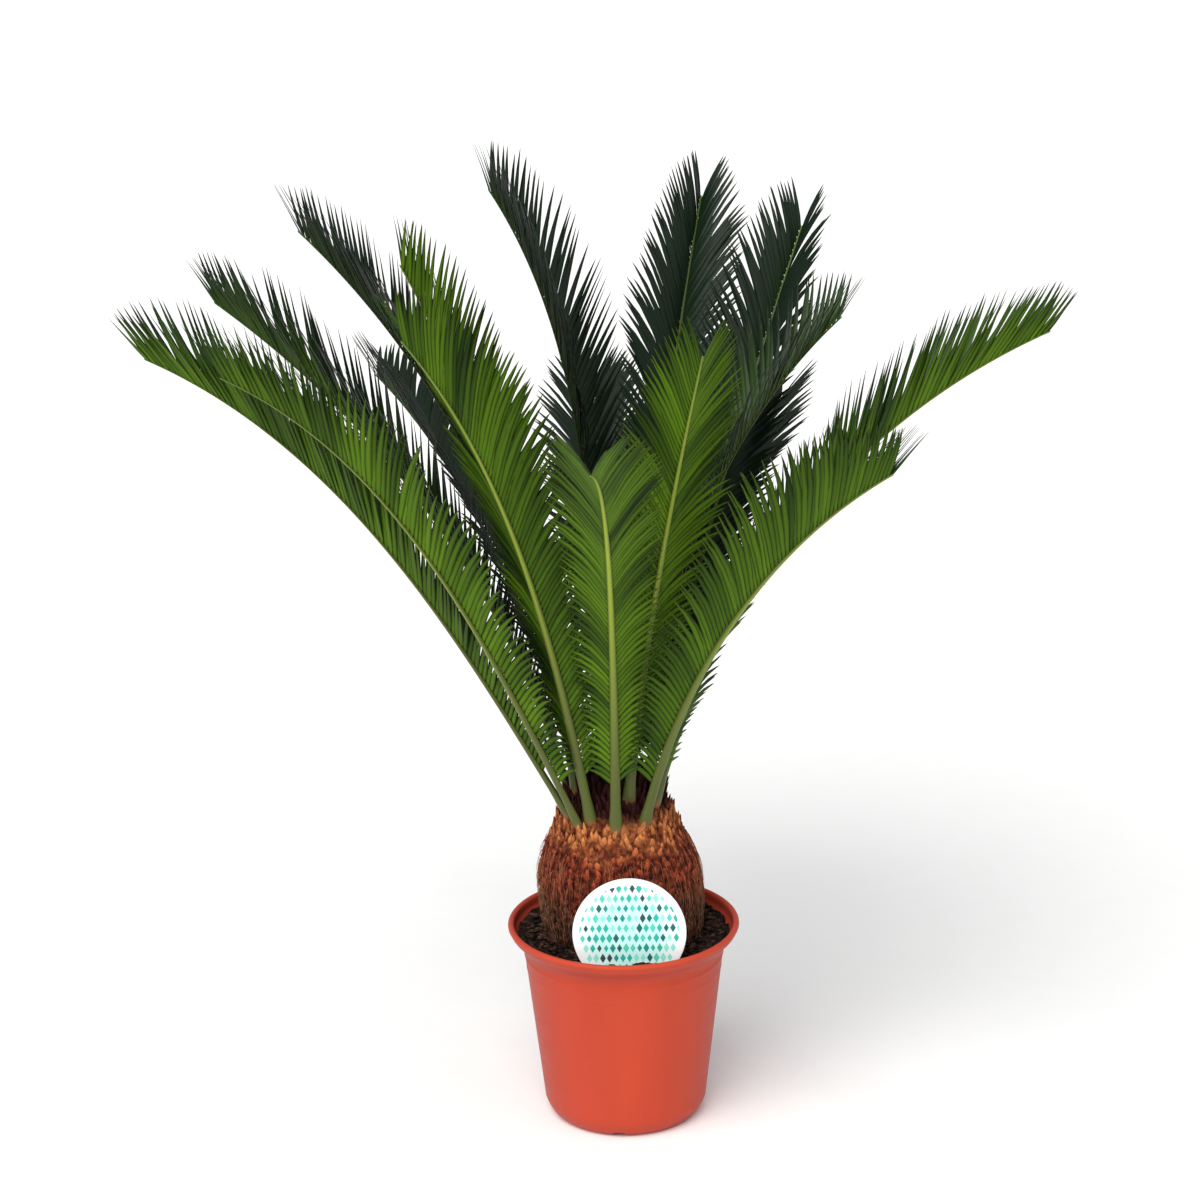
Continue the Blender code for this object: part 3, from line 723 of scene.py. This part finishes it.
def strands(count, dice):
    """Thin threads that hang from the lower trunk: three-sided tubes down the skin, swaying to and fro."""
    t = np.linspace(0.0, 1.0, FIBRE_STATIONS)[None]
    turn = dice.uniform(0.0, 2.0 * math.pi, (count, 1))
    top = dice.uniform(0.155, 0.215, (count, 1))
    drop = dice.uniform(0.010, 0.034, (count, 1))
    height = np.maximum(top - drop * t, SOIL_TOP + 0.0008)
    sway = dice.normal(0.0, 0.05, (count, 1)) * t + dice.normal(0.0, 0.025, (count, 1)) * np.sin(5.0 * t)
    out = dice.uniform(0.0, 0.0018, (count, 1)) * np.sin(math.pi * t * dice.uniform(0.6, 1.0, (count, 1)))
    line = trunk_skin(turn + sway, height, 0.0004 + out)
    turn = turn[:, 0]
    around = np.stack([-np.sin(turn), np.cos(turn), 0.0 * turn], axis=-1)
    outward = np.stack([np.cos(turn), np.sin(turn), 0.0 * turn], axis=-1)
    thick = dice.uniform(0.00012, 0.00030, (count, 1)) * (1.15 - t)
    ring = ellipses(outward, -around, thick, thick, FIBRE_CORNERS)
    return tubes(line[:, :, None] + ring, line[:, 0], line[:, -1] - np.array((0.0, 0.0, 0.0002)))


dice = np.random.default_rng(51)
fibre_shape = strands(FIBRES, dice)
fibre_tone = np.repeat(dice.uniform(0.2, 1.0, FIBRES), FIBRE_STATIONS * FIBRE_CORNERS + 2)
fibre = bark_finish("loose fibre", 0.8, CROWN, (rgb(0.16, 0.045, 0.022), rgb(0.42, 0.15, 0.070)),
                    (rgb(0.08, 0.030, 0.018), rgb(0.30, 0.15, 0.085)))
# Fibres hang out in the light and get almost no painted shade.
make_piece("trunk_fibres", fibre_shape, "bark", ["trunk"], [fibre],
           tone=fibre_tone, lift=0.9 * np.ones(len(fibre_tone)))

# %% [markdown]
# ## The label
#
# A round plant label of printed card leans on the trunk. Its print is a plain pattern of lozenges in rows,
# in mint and teal, inside a white margin. A texture image would fix its sharpness, so the pattern is
# arithmetic on the label's own UV map: a cell for each lozenge, and a number from the cell that chooses its
# colour and size.

# %% Label card
LABEL_RADIUS, LABEL_THICKNESS, LABEL_EDGE = 0.041, 0.0010, 0.00035
LABEL_CENTRE, LABEL_LEAN = np.array((0.0038, -0.0576, 0.1643)), math.radians(5.5)
LABEL_CORNERS = 160
ROWS, COLUMNS = 5.5, 8.5    # lozenges in one radius of the label
PRINTED = 0.88              # share of the radius that is printed
INKS = ((0.0, (0.03, 0.46, 0.36)), (0.22, (0.10, 0.62, 0.50)), (0.42, (0.012, 0.14, 0.13)),
        (0.60, (0.30, 0.78, 0.66)), (0.80, (0.02, 0.30, 0.27)), (0.92, (0.05, 0.07, 0.08)))


def label_shape():
    """A short turned disc with rounded edges, tipped to face forwards and lean back.

    Its points before the tipping come first, because the print is laid out on them.
    """
    half, edge = LABEL_THICKNESS / 2.0, LABEL_EDGE
    turn = np.linspace(-math.pi / 2.0, math.pi / 2.0, 7)
    rim = np.stack([LABEL_RADIUS - edge + edge * np.cos(turn),
                    (half - edge) * np.sign(turn) + edge * np.sin(turn)], axis=-1)
    back = np.stack([np.linspace(0.004, 0.0395, 8), np.full(8, -half)], axis=-1)
    outline = np.concatenate([back, rim, back[::-1] * (1.0, -1.0)])
    flat, sides, ends = turned(outline, LABEL_CORNERS)
    lean = math.pi / 2.0 - LABEL_LEAN
    spin = np.array([(1, 0, 0), (0, math.cos(lean), -math.sin(lean)), (0, math.sin(lean), math.cos(lean))])
    return flat, (flat @ spin.T + LABEL_CENTRE, sides, ends)


def from_middle(tree, value):
    """Distance of a value from the middle of its cell."""
    return math_node(tree, "ABSOLUTE", math_node(tree, "SUBTRACT", math_node(tree, "FRACT", value), 0.5))


def card_finish():
    """Rows of lozenges: |x|/wide + |y|/tall is under each cell's own size inside the lozenge.

    Every other row is moved half a cell along, and a random number of the cell picks the ink and the size.
    """
    made, tree, shader = finish("printed card", 0.4, specular=0.2)
    place = node(tree, "ShaderNodeUVMap", uv_map="face").outputs[0]
    parts = node(tree, "ShaderNodeSeparateXYZ", {0: place})
    row = math_node(tree, "MULTIPLY", parts.outputs[1], ROWS)
    row_number = math_node(tree, "FLOOR", row)
    odd = math_node(tree, "MULTIPLY", math_node(tree, "FLOORED_MODULO", row_number, 2.0), 0.5)
    column = math_node(tree, "MULTIPLY_ADD", parts.outputs[0], COLUMNS, odd)
    cell = node(tree, "ShaderNodeCombineXYZ", {0: math_node(tree, "FLOOR", column), 1: row_number}).outputs[0]
    number = node(tree, "ShaderNodeTexWhiteNoise", {"Vector": cell}, noise_dimensions="3D")
    pick = node(tree, "ShaderNodeSeparateColor", {0: number.outputs["Color"]})
    x, y = from_middle(tree, column), from_middle(tree, row)
    spread = math_node(tree, "ADD", math_node(tree, "MULTIPLY", x, 1.1), y)
    size = math_node(tree, "MULTIPLY_ADD", pick.outputs[1], 0.16, 0.36)
    inside = math_node(tree, "LESS_THAN", spread, size)
    inks = node(tree, "ShaderNodeValToRGB", {0: pick.outputs[0]})
    inks.color_ramp.interpolation = "CONSTANT"
    steps = inks.color_ramp.elements
    steps.remove(steps[1])
    steps[0].color = rgb(*INKS[0][1])
    for at, colour in INKS[1:]:
        steps.new(at).color = rgb(*colour)
    radius = node(tree, "ShaderNodeVectorMath", {0: place}, operation="LENGTH").outputs["Value"]
    printed = math_node(tree, "LESS_THAN", radius, PRINTED)
    tint = map_range(tree, radius, 0.55, 0.86)
    ground = mix_colour(tree, tint, rgb(0.58, 0.93, 0.88), rgb(0.86, 0.95, 0.96))
    ink = math_node(tree, "MULTIPLY", inside, printed)
    ground = mix_colour(tree, printed, rgb(0.90, 0.91, 0.93), ground)
    tree.links.new(mix_colour(tree, ink, ground, inks.outputs[0]), shader.inputs["Base Color"])
    return made


flat, shape = label_shape()
label = make_piece("label_disc", shape, "label_card", ["label"], [card_finish()])
loop_points = np.zeros(len(label.data.loops), np.int32)
label.data.loops.foreach_get("vertex_index", loop_points)
face_map = label.data.uv_layers.new(name="face")
face_map.data.foreach_set("uv", (flat[loop_points, :2] / LABEL_RADIUS).astype(np.float32).ravel())

# %% [markdown]
# ## The fronds
#
# Each frond is one curve. It leaves the crown at its own angle, arches over, and carries two combs of
# leaflets set in a V. The rows below are the plan: the angle and height of a frond's seat on the trunk,
# where it heads, how steeply it rises, how far and how late it comes down, how long it is, how it swings,
# how open its V is, how far it rolls, how long its leaflets are, and how young and how lit their green is.
# That last number also paints shade: the back fronds have it near nothing, which paints them near-black,
# and the front ones have it high. The CAD model's fronds come from the same numbers, apart from the green.
# Only the lowest left frond is a little more closed here, and the rear left one is rolled, to suit the finer
# leaflets.
#
# The curve is the sum of short steps along its heading, so its length is exactly the rib's length.

# %% Frond plan and rib curve
Frond = namedtuple("Frond", "name seat base azimuth rise droop late length sway keel roll leaf fresh")
# The last column is a frond's young green and its painted shade together: near nothing on the back fronds,
# which paints them near-black.
FRONDS = [Frond(*row) for row in (
    ("frond_left_low",         207, 0.239, 180.0, 61.0, 36.0, 2.27, 0.456, 0.0, 58, 2, 0.098, 0.50),
    ("frond_left_front",       228, 0.236, 208.0, 65.0, 35.0, 2.42, 0.457, 0.0, 66, 2, 0.088, 0.56),
    ("frond_left_back",        168, 0.250, 168.0, 75.5, 41.0, 0.96, 0.443, 0.0, 69, 9, 0.095, 0.25),
    ("frond_left_back_high",   158, 0.256, 157.0, 80.5, 42.0, 1.25, 0.454, 0.0, 73, 14, 0.092, 0.06),
    ("frond_left_inner",       205, 0.256, 195.0, 81.0, 18.0, 1.40, 0.415, 0.0, 70, 10, 0.088, 0.60),
    ("frond_front_left",       242, 0.240, 233.5, 74.5, 30.0, 1.73, 0.449, 1.0, 56, 15, 0.088, 0.60),
    ("frond_front",            270, 0.236, 270.0, 79.0, 63.0, 1.45, 0.445, -5.0, 68, 0, 0.074, 0.86),
    ("frond_front_right_high", 290, 0.254, 294.0, 80.5, 18.5, 0.60, 0.388, -4.5, 75, -18, 0.070, 0.70),
    ("frond_front_right",      302, 0.237, 308.0, 71.5, 39.0, 0.93, 0.415, 1.0, 54, -13, 0.088, 0.48),
    ("frond_right",            328, 0.248, 1.6, 74.5, 51.0, 1.17, 0.457, 0.0, 55, -12, 0.088, 0.66),
    ("frond_right_back",       350, 0.259, 24.0, 88.0, 52.0, 1.25, 0.375, 0.0, 66, -8, 0.085, 0.28),
    ("frond_back_right",        20, 0.259, 49.0, 69.0, 11.5, 1.09, 0.417, 2.5, 73, 7, 0.088, 0.03),
    ("frond_back",              70, 0.262, 74.5, 60.5, 21.0, 1.34, 0.465, 3.5, 64, 15, 0.088, 0.00),
    ("frond_back_left",        118, 0.263, 143.0, 89.9, 41.5, 2.43, 0.436, 1.0, 70, 16, 0.088, 0.03),
    ("frond_rear_right",        52, 0.240, 66.0, 60.0, 48.0, 1.30, 0.370, 0.0, 70, 0, 0.088, 0.10),
    ("frond_rear",              92, 0.238, 92.0, 56.0, 46.0, 1.30, 0.390, 0.0, 70, 0, 0.088, 0.00),
    ("frond_rear_left",        128, 0.240, 122.0, 59.0, 44.0, 1.30, 0.400, 0.0, 70, 25, 0.088, 0.02),
)]
RIB_WIDTH, RIB_TIP = 0.0080, 0.0016    # width of a rib at the crown and at its far end
RIB_STEPS = 600                        # short steps in a rib's curve
RIB_CORNERS = 12


def rib_frame(frond, s):
    """Points and directions at the fractions s of a rib.

    The rib climbs at rise - droop s^late and heads along azimuth + sway s. Points are the sum of those
    directions. side lies level across the rib, upper is its inner face, and both are then rolled about it.
    """
    fine = np.linspace(0.0, 1.0, RIB_STEPS + 1)
    climb = np.radians(frond.rise - frond.droop * fine ** frond.late)
    heading = np.radians(frond.azimuth + frond.sway * fine)
    level = np.cos(climb)
    along = np.stack([level * np.cos(heading), level * np.sin(heading), np.sin(climb)], axis=-1)
    steps = np.cumsum((along[1:] + along[:-1]) / 2.0, axis=0) * frond.length / RIB_STEPS
    start = trunk_skin(np.radians(frond.seat), np.array(frond.base))
    points = np.vstack([start, start + steps])
    side = np.stack([-np.sin(heading), np.cos(heading), 0.0 * heading], axis=-1)
    upper = np.cross(along, side)
    cos, sin = math.cos(math.radians(frond.roll)), math.sin(math.radians(frond.roll))
    side, upper = cos * side + sin * upper, cos * upper - sin * side
    return [np.stack([np.interp(s, fine, v[:, k]) for k in range(3)], axis=-1)
            for v in (points, along, side, upper)]


def rib_width(s):
    """Thick at the crown, thin at the tip, by a power of what is left."""
    return RIB_TIP + (RIB_WIDTH - RIB_TIP) * (1.0 - s) ** 1.25


print("fronds:", len(FRONDS), "from", min(frond.length for frond in FRONDS), "to",
      max(frond.length for frond in FRONDS), "m long")

# %% Ribs
def rib_shape(frond):
    """Rounded underneath, nearly flat on top, and swollen where it clasps the crown. Its first ring is sunk
    in the trunk. Its points' tone, reach and place across come with it."""
    s = np.concatenate([[0.0, 0.006, 0.014, 0.024, 0.036], np.linspace(0.05, 1.0, 60)])
    points, along, side, upper = rib_frame(frond, s)
    points = points - along * (0.004 * (1.0 - ramp(s, 0.0, 0.02)))[:, None]
    _, cos, sin = circle(RIB_CORNERS)
    half = rib_width(s) / 2.0 * (1.0 + 0.30 * (1.0 - ramp(s, 0.0, 0.05)))
    across = cos[None] * half[:, None]
    height = np.where(sin > 0.0, 0.38 * sin, 0.86 * sin)[None] * half[:, None]
    rings = points[:, None] + side[:, None] * across[..., None] + upper[:, None] * height[..., None]
    first = points[:1] - along[:1] * 0.002
    last = points[-1:] + along[-1:] * 0.0015
    reach = np.concatenate([np.repeat(s, RIB_CORNERS), [0.0, 1.0]])
    # Painted shade: a rib's tone follows its frond's last column, low on the back fronds.
    tone = np.full(len(reach), 0.04 + 0.95 * frond.fresh)
    return tubes(rings[None], first, last), tone, reach, np.concatenate([np.tile(cos, len(s)), [0.0, 0.0]])


def rib_finish():
    """Olive at the crown with a woolly tan foot, yellow-green along the frond, and painted shade on its two
    sides.
    """
    made, tree, shader = finish("rib", 0.42, specular=0.25)
    reach = attribute(tree, "reach")
    # The margin number paints shade on the rib's two sides.
    links = {"Old": rgb(0.030, 0.045, 0.008), "Fresh": rgb(0.36, 0.48, 0.035), "Tip": rgb(0.10, 0.18, 0.02),
             "Lines": 0.5, "Margin": 0.75}
    mixed = node(tree, "ShaderNodeGroup", links, node_tree=veins_and_shade)
    olive = map_range(tree, reach, 0.02, 0.60, "SMOOTHSTEP")
    wool = map_range(tree, reach, 0.003, 0.014, "SMOOTHSTEP")
    colour = mix_colour(tree, olive, rgb(0.085, 0.105, 0.020), mixed.outputs["Color"])
    colour = mix_colour(tree, wool, rgb(0.22, 0.09, 0.035), colour)
    tree.links.new(colour, shader.inputs["Base Color"])
    bump(tree, shader, mixed.outputs["Height"], 0.15, 0.0006)
    return made


def gather(name, made, fronds, materials, facing=None, crease=None):
    """Joins (shape, tone, reach, across) of several ribs or combs into one piece for these fronds."""
    tone, reach, across = (np.concatenate([item[k] for item in made]) for k in (1, 2, 3))
    shape = join([item[0] for item in made])
    facing = facing(shape) if facing else None
    make_piece(name, shape, "frond_green", [frond.name for frond in fronds], materials, facing, crease,
               tone=tone, reach=reach, across=across)


gather("ribs", [rib_shape(frond) for frond in FRONDS], FRONDS, [rib_finish()])

# %% [markdown]
# ## Leaflets
#
# A leaflet is a narrow, stiff blade: shiny and domed above with its margins rolled under, pale and matt
# below with the midrib standing out. Cards with a leaf painted on them would be lighter, but they are flat
# where a real one catches the light along its middle. So each is a closed blade of five corners and six
# stations, its three upper strips in one material and its two lower ones in another. It leaves the rib
# forwards and inwards, and its own weight and growth bend it back out of the V, so its heading turns on a
# steady arc about the direction of its chord.

# %% Leaflet cross-section and frame
PETIOLE = 0.038             # bare stalk before the first leaflet
LEAFLET_PITCH = 0.0050      # from one leaflet to the next
LEAFLET_WIDTH = 0.0054
LEAFLET_TILT = -6.0         # degrees that a leaflet is set aslant at its joint
LEAFLET_TWIST = -25.0       # degrees more that it has turned at its tip
LEAFLET_STEPS = 40          # short steps in a leaflet's arc
EDGE_ROOM = 0.0006          # room kept between a tip and the frame's box
BLADE = np.array([(1.0, -0.14), (0.42, 0.10), (-0.42, 0.10), (-1.0, -0.14), (0.0, -0.26)])
BLADE_CORNERS = len(BLADE)
STATIONS = np.array([0.0, 0.075, 0.25, 0.50, 0.75, 0.925])


def blade_width(t):
    """Narrow at the joint, full width soon after, then ever narrower to a sharp point."""
    return (0.55 + 0.45 * ramp(t, 0.0, 0.14)) * (1.0 - t ** 2.3) ** 0.80


def drift(count, size, seed):
    """Slow seeded change from leaflet to leaflet: noise along the rib, and a little of each one's own."""
    line = np.arange(count)[:, None] * np.array((1.0, 0.0, 0.0))
    return ripple(line, size, seed) + 0.45 * np.random.default_rng(seed + 1).normal(size=count)


print("leaflet:", len(STATIONS), "rings of", BLADE_CORNERS, "corners, widest",
      round(1000 * LEAFLET_WIDTH * float(blade_width(STATIONS).max()), 1), "mm")

# %% A comb of leaflets
def leaflets(frond, sign, seed):
    """One comb of one frond, as (points, sides, ends) with each point's tone, reach and place across.

    s is how far along the rib a leaflet stands. Its sweep from the rib falls from 66 degrees at the crown to
    30 at the tip, and its opening from the inner face starts at keel and ends 30 degrees lower. The opening
    also grows along the leaflet by bend and the sweep by arc, half before its middle and half after. A
    leaflet is set aslant, its far margin raised, and twists further that way towards its tip.
    """
    start = PETIOLE / frond.length
    count = int(round((1.0 - start) * frond.length / LEAFLET_PITCH))
    s = start + (1.0 - start) * (np.arange(count) + (0.5 if sign > 0 else 0.0)) / count
    root, along, side, upper = rib_frame(frond, s)
    half = rib_width(s)[:, None] / 2.0
    root = root + side * sign * half * 0.72 + upper * half * 0.18
    dice = np.random.default_rng(seed)
    sweep = np.radians(70.0 - 50.0 * s + 10.0 * s ** 2 + 2.6 * drift(count, 9.0, seed + 2))
    opening = np.radians(frond.keel + 5.0 * s - 35.0 * s ** 2 + 3.0 * drift(count, 7.0, seed + 4))
    bend = np.radians(50.0 - 34.0 * s + 5.0 * dice.normal(size=count))
    arc = np.radians(36.0 - 30.0 * s)
    size = frond.leaf * np.minimum(1.0, 0.17 + 1.28 * s) * (1.0 - 0.55 * s ** 8)
    size *= 1.0 - 0.04 * np.abs(drift(count, 4.0, seed + 6)) - 0.04 * dice.random(count)
    roll = 7.0 * drift(count, 5.0, seed + 8)[:, None] + sign * (LEAFLET_TILT + LEAFLET_TWIST * STATIONS)

    def heading(t):
        """Direction at the fraction t of every leaflet, and the way out from the rib that it is swept to."""
        v = opening[:, None] + bend[:, None] * (t - 0.5)
        turn = (sweep[:, None] + arc[:, None] * (t - 0.5))[..., None]
        out = np.cos(v)[..., None] * upper[:, None] + sign * np.sin(v)[..., None] * side[:, None]
        return np.cos(turn) * along[:, None] + np.sin(turn) * out, out

    fine = np.linspace(0.0, 1.0, LEAFLET_STEPS + 1)
    steps = heading((fine[1:] + fine[:-1]) / 2.0)[0] / LEAFLET_STEPS
    path = np.concatenate([np.zeros((count, 1, 3)), np.cumsum(steps, axis=1)], axis=1)
    tip = root + path[:, -1] * size[:, None]
    too_far = np.any((tip < cad_low + EDGE_ROOM) | (tip > cad_high - EDGE_ROOM), axis=1)
    size = np.where(too_far, 0.93 * size, size)
    at = np.rint(STATIONS * LEAFLET_STEPS).astype(int)
    line = root[:, None] + path[:, at] * size[:, None, None]
    tip = root + path[:, -1] * size[:, None]
    forward, out = heading(STATIONS)
    face = sign * np.cross(along[:, None] + 0.0 * out, out)
    wide = unit(np.cross(face, forward))
    face = np.cross(forward, wide)
    cos, sin = np.cos(np.radians(roll))[..., None], np.sin(np.radians(roll))[..., None]
    wide, face = cos * wide + sin * face, cos * face - sin * wide
    w = LEAFLET_WIDTH / 2.0 * blade_width(STATIONS) * (0.62 + 0.38 * np.minimum(1.0, size / 0.075))[:, None]
    w = w * (1.12 - 0.38 * s ** 3)[:, None]
    ring = (wide[:, :, None] * BLADE[:, 0, None] + face[:, :, None] * BLADE[:, 1, None]) * w[..., None, None]
    shape = tubes(line[:, :, None] + ring, root - along * 0.0006, tip)
    # Painted shade: a leaflet's tone follows its frond's last column, low on the back fronds, with some
    # wander of its own.
    tone = np.clip(0.02 + frond.fresh * (1.0 + 0.40 * drift(count, 11.0, seed + 10)), 0.0, 1.0)
    reach = np.concatenate([np.repeat(STATIONS, BLADE_CORNERS), [0.0, 1.0]])
    across = np.concatenate([np.tile(BLADE[:, 0], len(STATIONS)), [0.0, 0.0]])
    return shape, np.repeat(tone, len(reach)), np.tile(reach, count), np.tile(across, count)


# %% Leaflet finishes
def leaf_finish(name, rough, specular, old, fresh, tip, margin, height):
    """A leaf surface between an old, shaded colour and a lit one, with painted shade on its margins and its
    lines raised a little.
    """
    made, tree, shader = finish(name, rough, specular)
    links = {"Old": old, "Fresh": fresh, "Tip": tip, "Lines": 0.35, "Fade": 0.40, "Margin": margin}
    mixed = node(tree, "ShaderNodeGroup", links, node_tree=veins_and_shade)
    tree.links.new(mixed.outputs["Color"], shader.inputs["Base Color"])
    bump(tree, shader, mixed.outputs["Height"], height, 0.0005)
    return made


# Each first colour is the old end and also the back fronds' painted shade; the margin number is painted shade
# on the edges.
leaf_top = leaf_finish("leaflet above", 0.45, 0.22, rgb(0.004, 0.014, 0.005), rgb(0.046, 0.112, 0.008),
                       rgb(0.03, 0.04, 0.01), 0.3, 0.10)
leaf_under = leaf_finish("leaflet below", 0.60, 0.08, rgb(0.013, 0.033, 0.005), rgb(0.098, 0.195, 0.008),
                         rgb(0.08, 0.10, 0.015), 0.8, 0.15)


def leaf_facing(shape):
    """0 for faces above and 1 for faces below: a ring's first three sides are above, its last two below."""
    count = len(shape[2]) // (2 * BLADE_CORNERS)
    below = np.arange(BLADE_CORNERS) >= 3
    return np.concatenate([np.tile(below, count * (len(STATIONS) - 1)), np.tile(below, count * 2)])


def leaf_crease(pairs):
    """The two margins stay sharp: both ends of the edge are corner 0, or both are corner 3."""
    place = pairs % (len(STATIONS) * BLADE_CORNERS + 2)
    corner = np.where(place < len(STATIONS) * BLADE_CORNERS, place % BLADE_CORNERS, -1)
    return (corner[:, 0] == corner[:, 1]) & np.isin(corner[:, 0], (0, 3))


print("leaflet finishes:", leaf_top.name, "and", leaf_under.name)

# %% Grow the leaflets
SPRAYS = (("leaflets_left", FRONDS[:5]), ("leaflets_front", FRONDS[5:9]),
          ("leaflets_right", FRONDS[9:12]), ("leaflets_back", FRONDS[12:]))
for spray, fronds in SPRAYS:
    combs = [leaflets(frond, sign, 1000 + 40 * FRONDS.index(frond) + 20 * (sign > 0))
             for frond in fronds for sign in (1, -1)]
    gather(spray, combs, fronds, [leaf_top, leaf_under], leaf_facing, leaf_crease)

# %% [markdown]
# ## Studio
#
# A plain pale floor, a white room and two soft lights: a key high on the left in front and a weaker fill on
# the right. Both are distant and wide, so the floor is evenly bright and the shadows are faint. The camera
# looks slightly down on the plant through a long lens.

# %% Floor
FLOOR_HALF, FLOOR_TILES = 14.0, 8
FLOOR_DROP = 0.0002    # how far the floor lies under the pot


def floor_finish():
    """Smooth pale floor with a barely visible grain."""
    made, tree, shader = finish("studio floor", 0.6, specular=0.2)
    grain = noise(tree, own_place(tree), 40.0, 2.0)
    colour = mix_colour(tree, grain, rgb(0.93, 0.93, 0.93), rgb(0.96, 0.96, 0.96))
    tree.links.new(colour, shader.inputs["Base Color"])
    return made


line = np.linspace(-FLOOR_HALF, FLOOR_HALF, FLOOR_TILES + 1)
x, y = np.meshgrid(line, line, indexing="ij")
i, j = np.meshgrid(np.arange(FLOOR_TILES) * len(line), np.arange(FLOOR_TILES), indexing="ij")
tiles = np.stack([i + j, i + len(line) + j, i + len(line) + j + 1, i + j + 1], axis=-1).reshape(-1, 4)
floor_mesh = bpy.data.meshes.new("floor")
floor_points = np.stack([x, y, 0.0 * x - FLOOR_DROP], axis=-1).reshape(-1, 3)
floor_mesh.from_pydata(floor_points.tolist(), [], tiles.tolist())
floor_mesh.materials.append(floor_finish())
floor = bpy.data.objects.new("floor", floor_mesh)
bpy.context.scene.collection.objects.link(floor)
floor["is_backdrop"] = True
print("floor:", len(tiles), "tiles")

# %% Lights
ROOM_COLOUR, ROOM_STRENGTH = rgb(0.97, 0.98, 1.0), 0.46


def placed(name, data, right, up, back, place):
    """An object with these three directions and this place as the columns of its matrix."""
    made = bpy.data.objects.new(name, data)
    rows = np.vstack([np.column_stack([right, up, back, place]), (0.0, 0.0, 0.0, 1.0)])
    made.matrix_world = Matrix(rows.tolist())
    bpy.context.scene.collection.objects.link(made)
    return made


def soft_light(name, place, strength, spread, colour):
    """A distant light that shines from a place towards the plant, as wide in the sky as spread degrees."""
    data = bpy.data.lights.new(name, "SUN")
    data.energy, data.angle, data.color = strength, math.radians(spread), colour
    back = unit(np.array(place, float))
    right = unit(np.cross((0.0, 0.0, 1.0), back))
    placed(name, data, right, np.cross(back, right), back, place)


room = bpy.data.worlds.new("white room")
room.use_nodes = True
background = room.node_tree.nodes["Background"]
background.inputs["Color"].default_value = ROOM_COLOUR
background.inputs["Strength"].default_value = ROOM_STRENGTH
bpy.context.scene.world = room
soft_light("key", place=(-1.2, -2.2, 3.0), strength=3.0, spread=50.0, colour=(1.0, 0.99, 0.96))
soft_light("fill", place=(2.4, -1.2, 1.6), strength=0.4, spread=60.0, colour=(0.97, 0.98, 1.0))
print("lights: key, fill and a room of strength", ROOM_STRENGTH)

# %% Camera
PITCH, TILT = math.radians(18.44), math.radians(-0.87)    # how far it looks down, and how far it is tipped
CAMERA_PLACE = (-0.0137, -2.43, 1.208)
SENSOR, LENS = 36.0, 107.7                                # millimetres

ahead = np.array((0.0, math.cos(PITCH), -math.sin(PITCH)))
level, over = np.array((1.0, 0.0, 0.0)), np.array((0.0, math.sin(PITCH), math.cos(PITCH)))
right = math.cos(TILT) * level + math.sin(TILT) * over
up = math.cos(TILT) * over - math.sin(TILT) * level
camera_data = bpy.data.cameras.new("camera")
camera_data.sensor_width, camera_data.lens = SENSOR, LENS
bpy.context.scene.camera = placed("camera", camera_data, right, up, -ahead, CAMERA_PLACE)
bpy.context.scene.view_settings.view_transform = "Standard"
print("camera:", LENS, "mm")

# %% Size and finish
low, high = (np.array(corner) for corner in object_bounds())
past = 1000 * np.concatenate([cad_low - low, high - cad_high])
print("reaches past the frame, in mm:", np.round(past, 2))
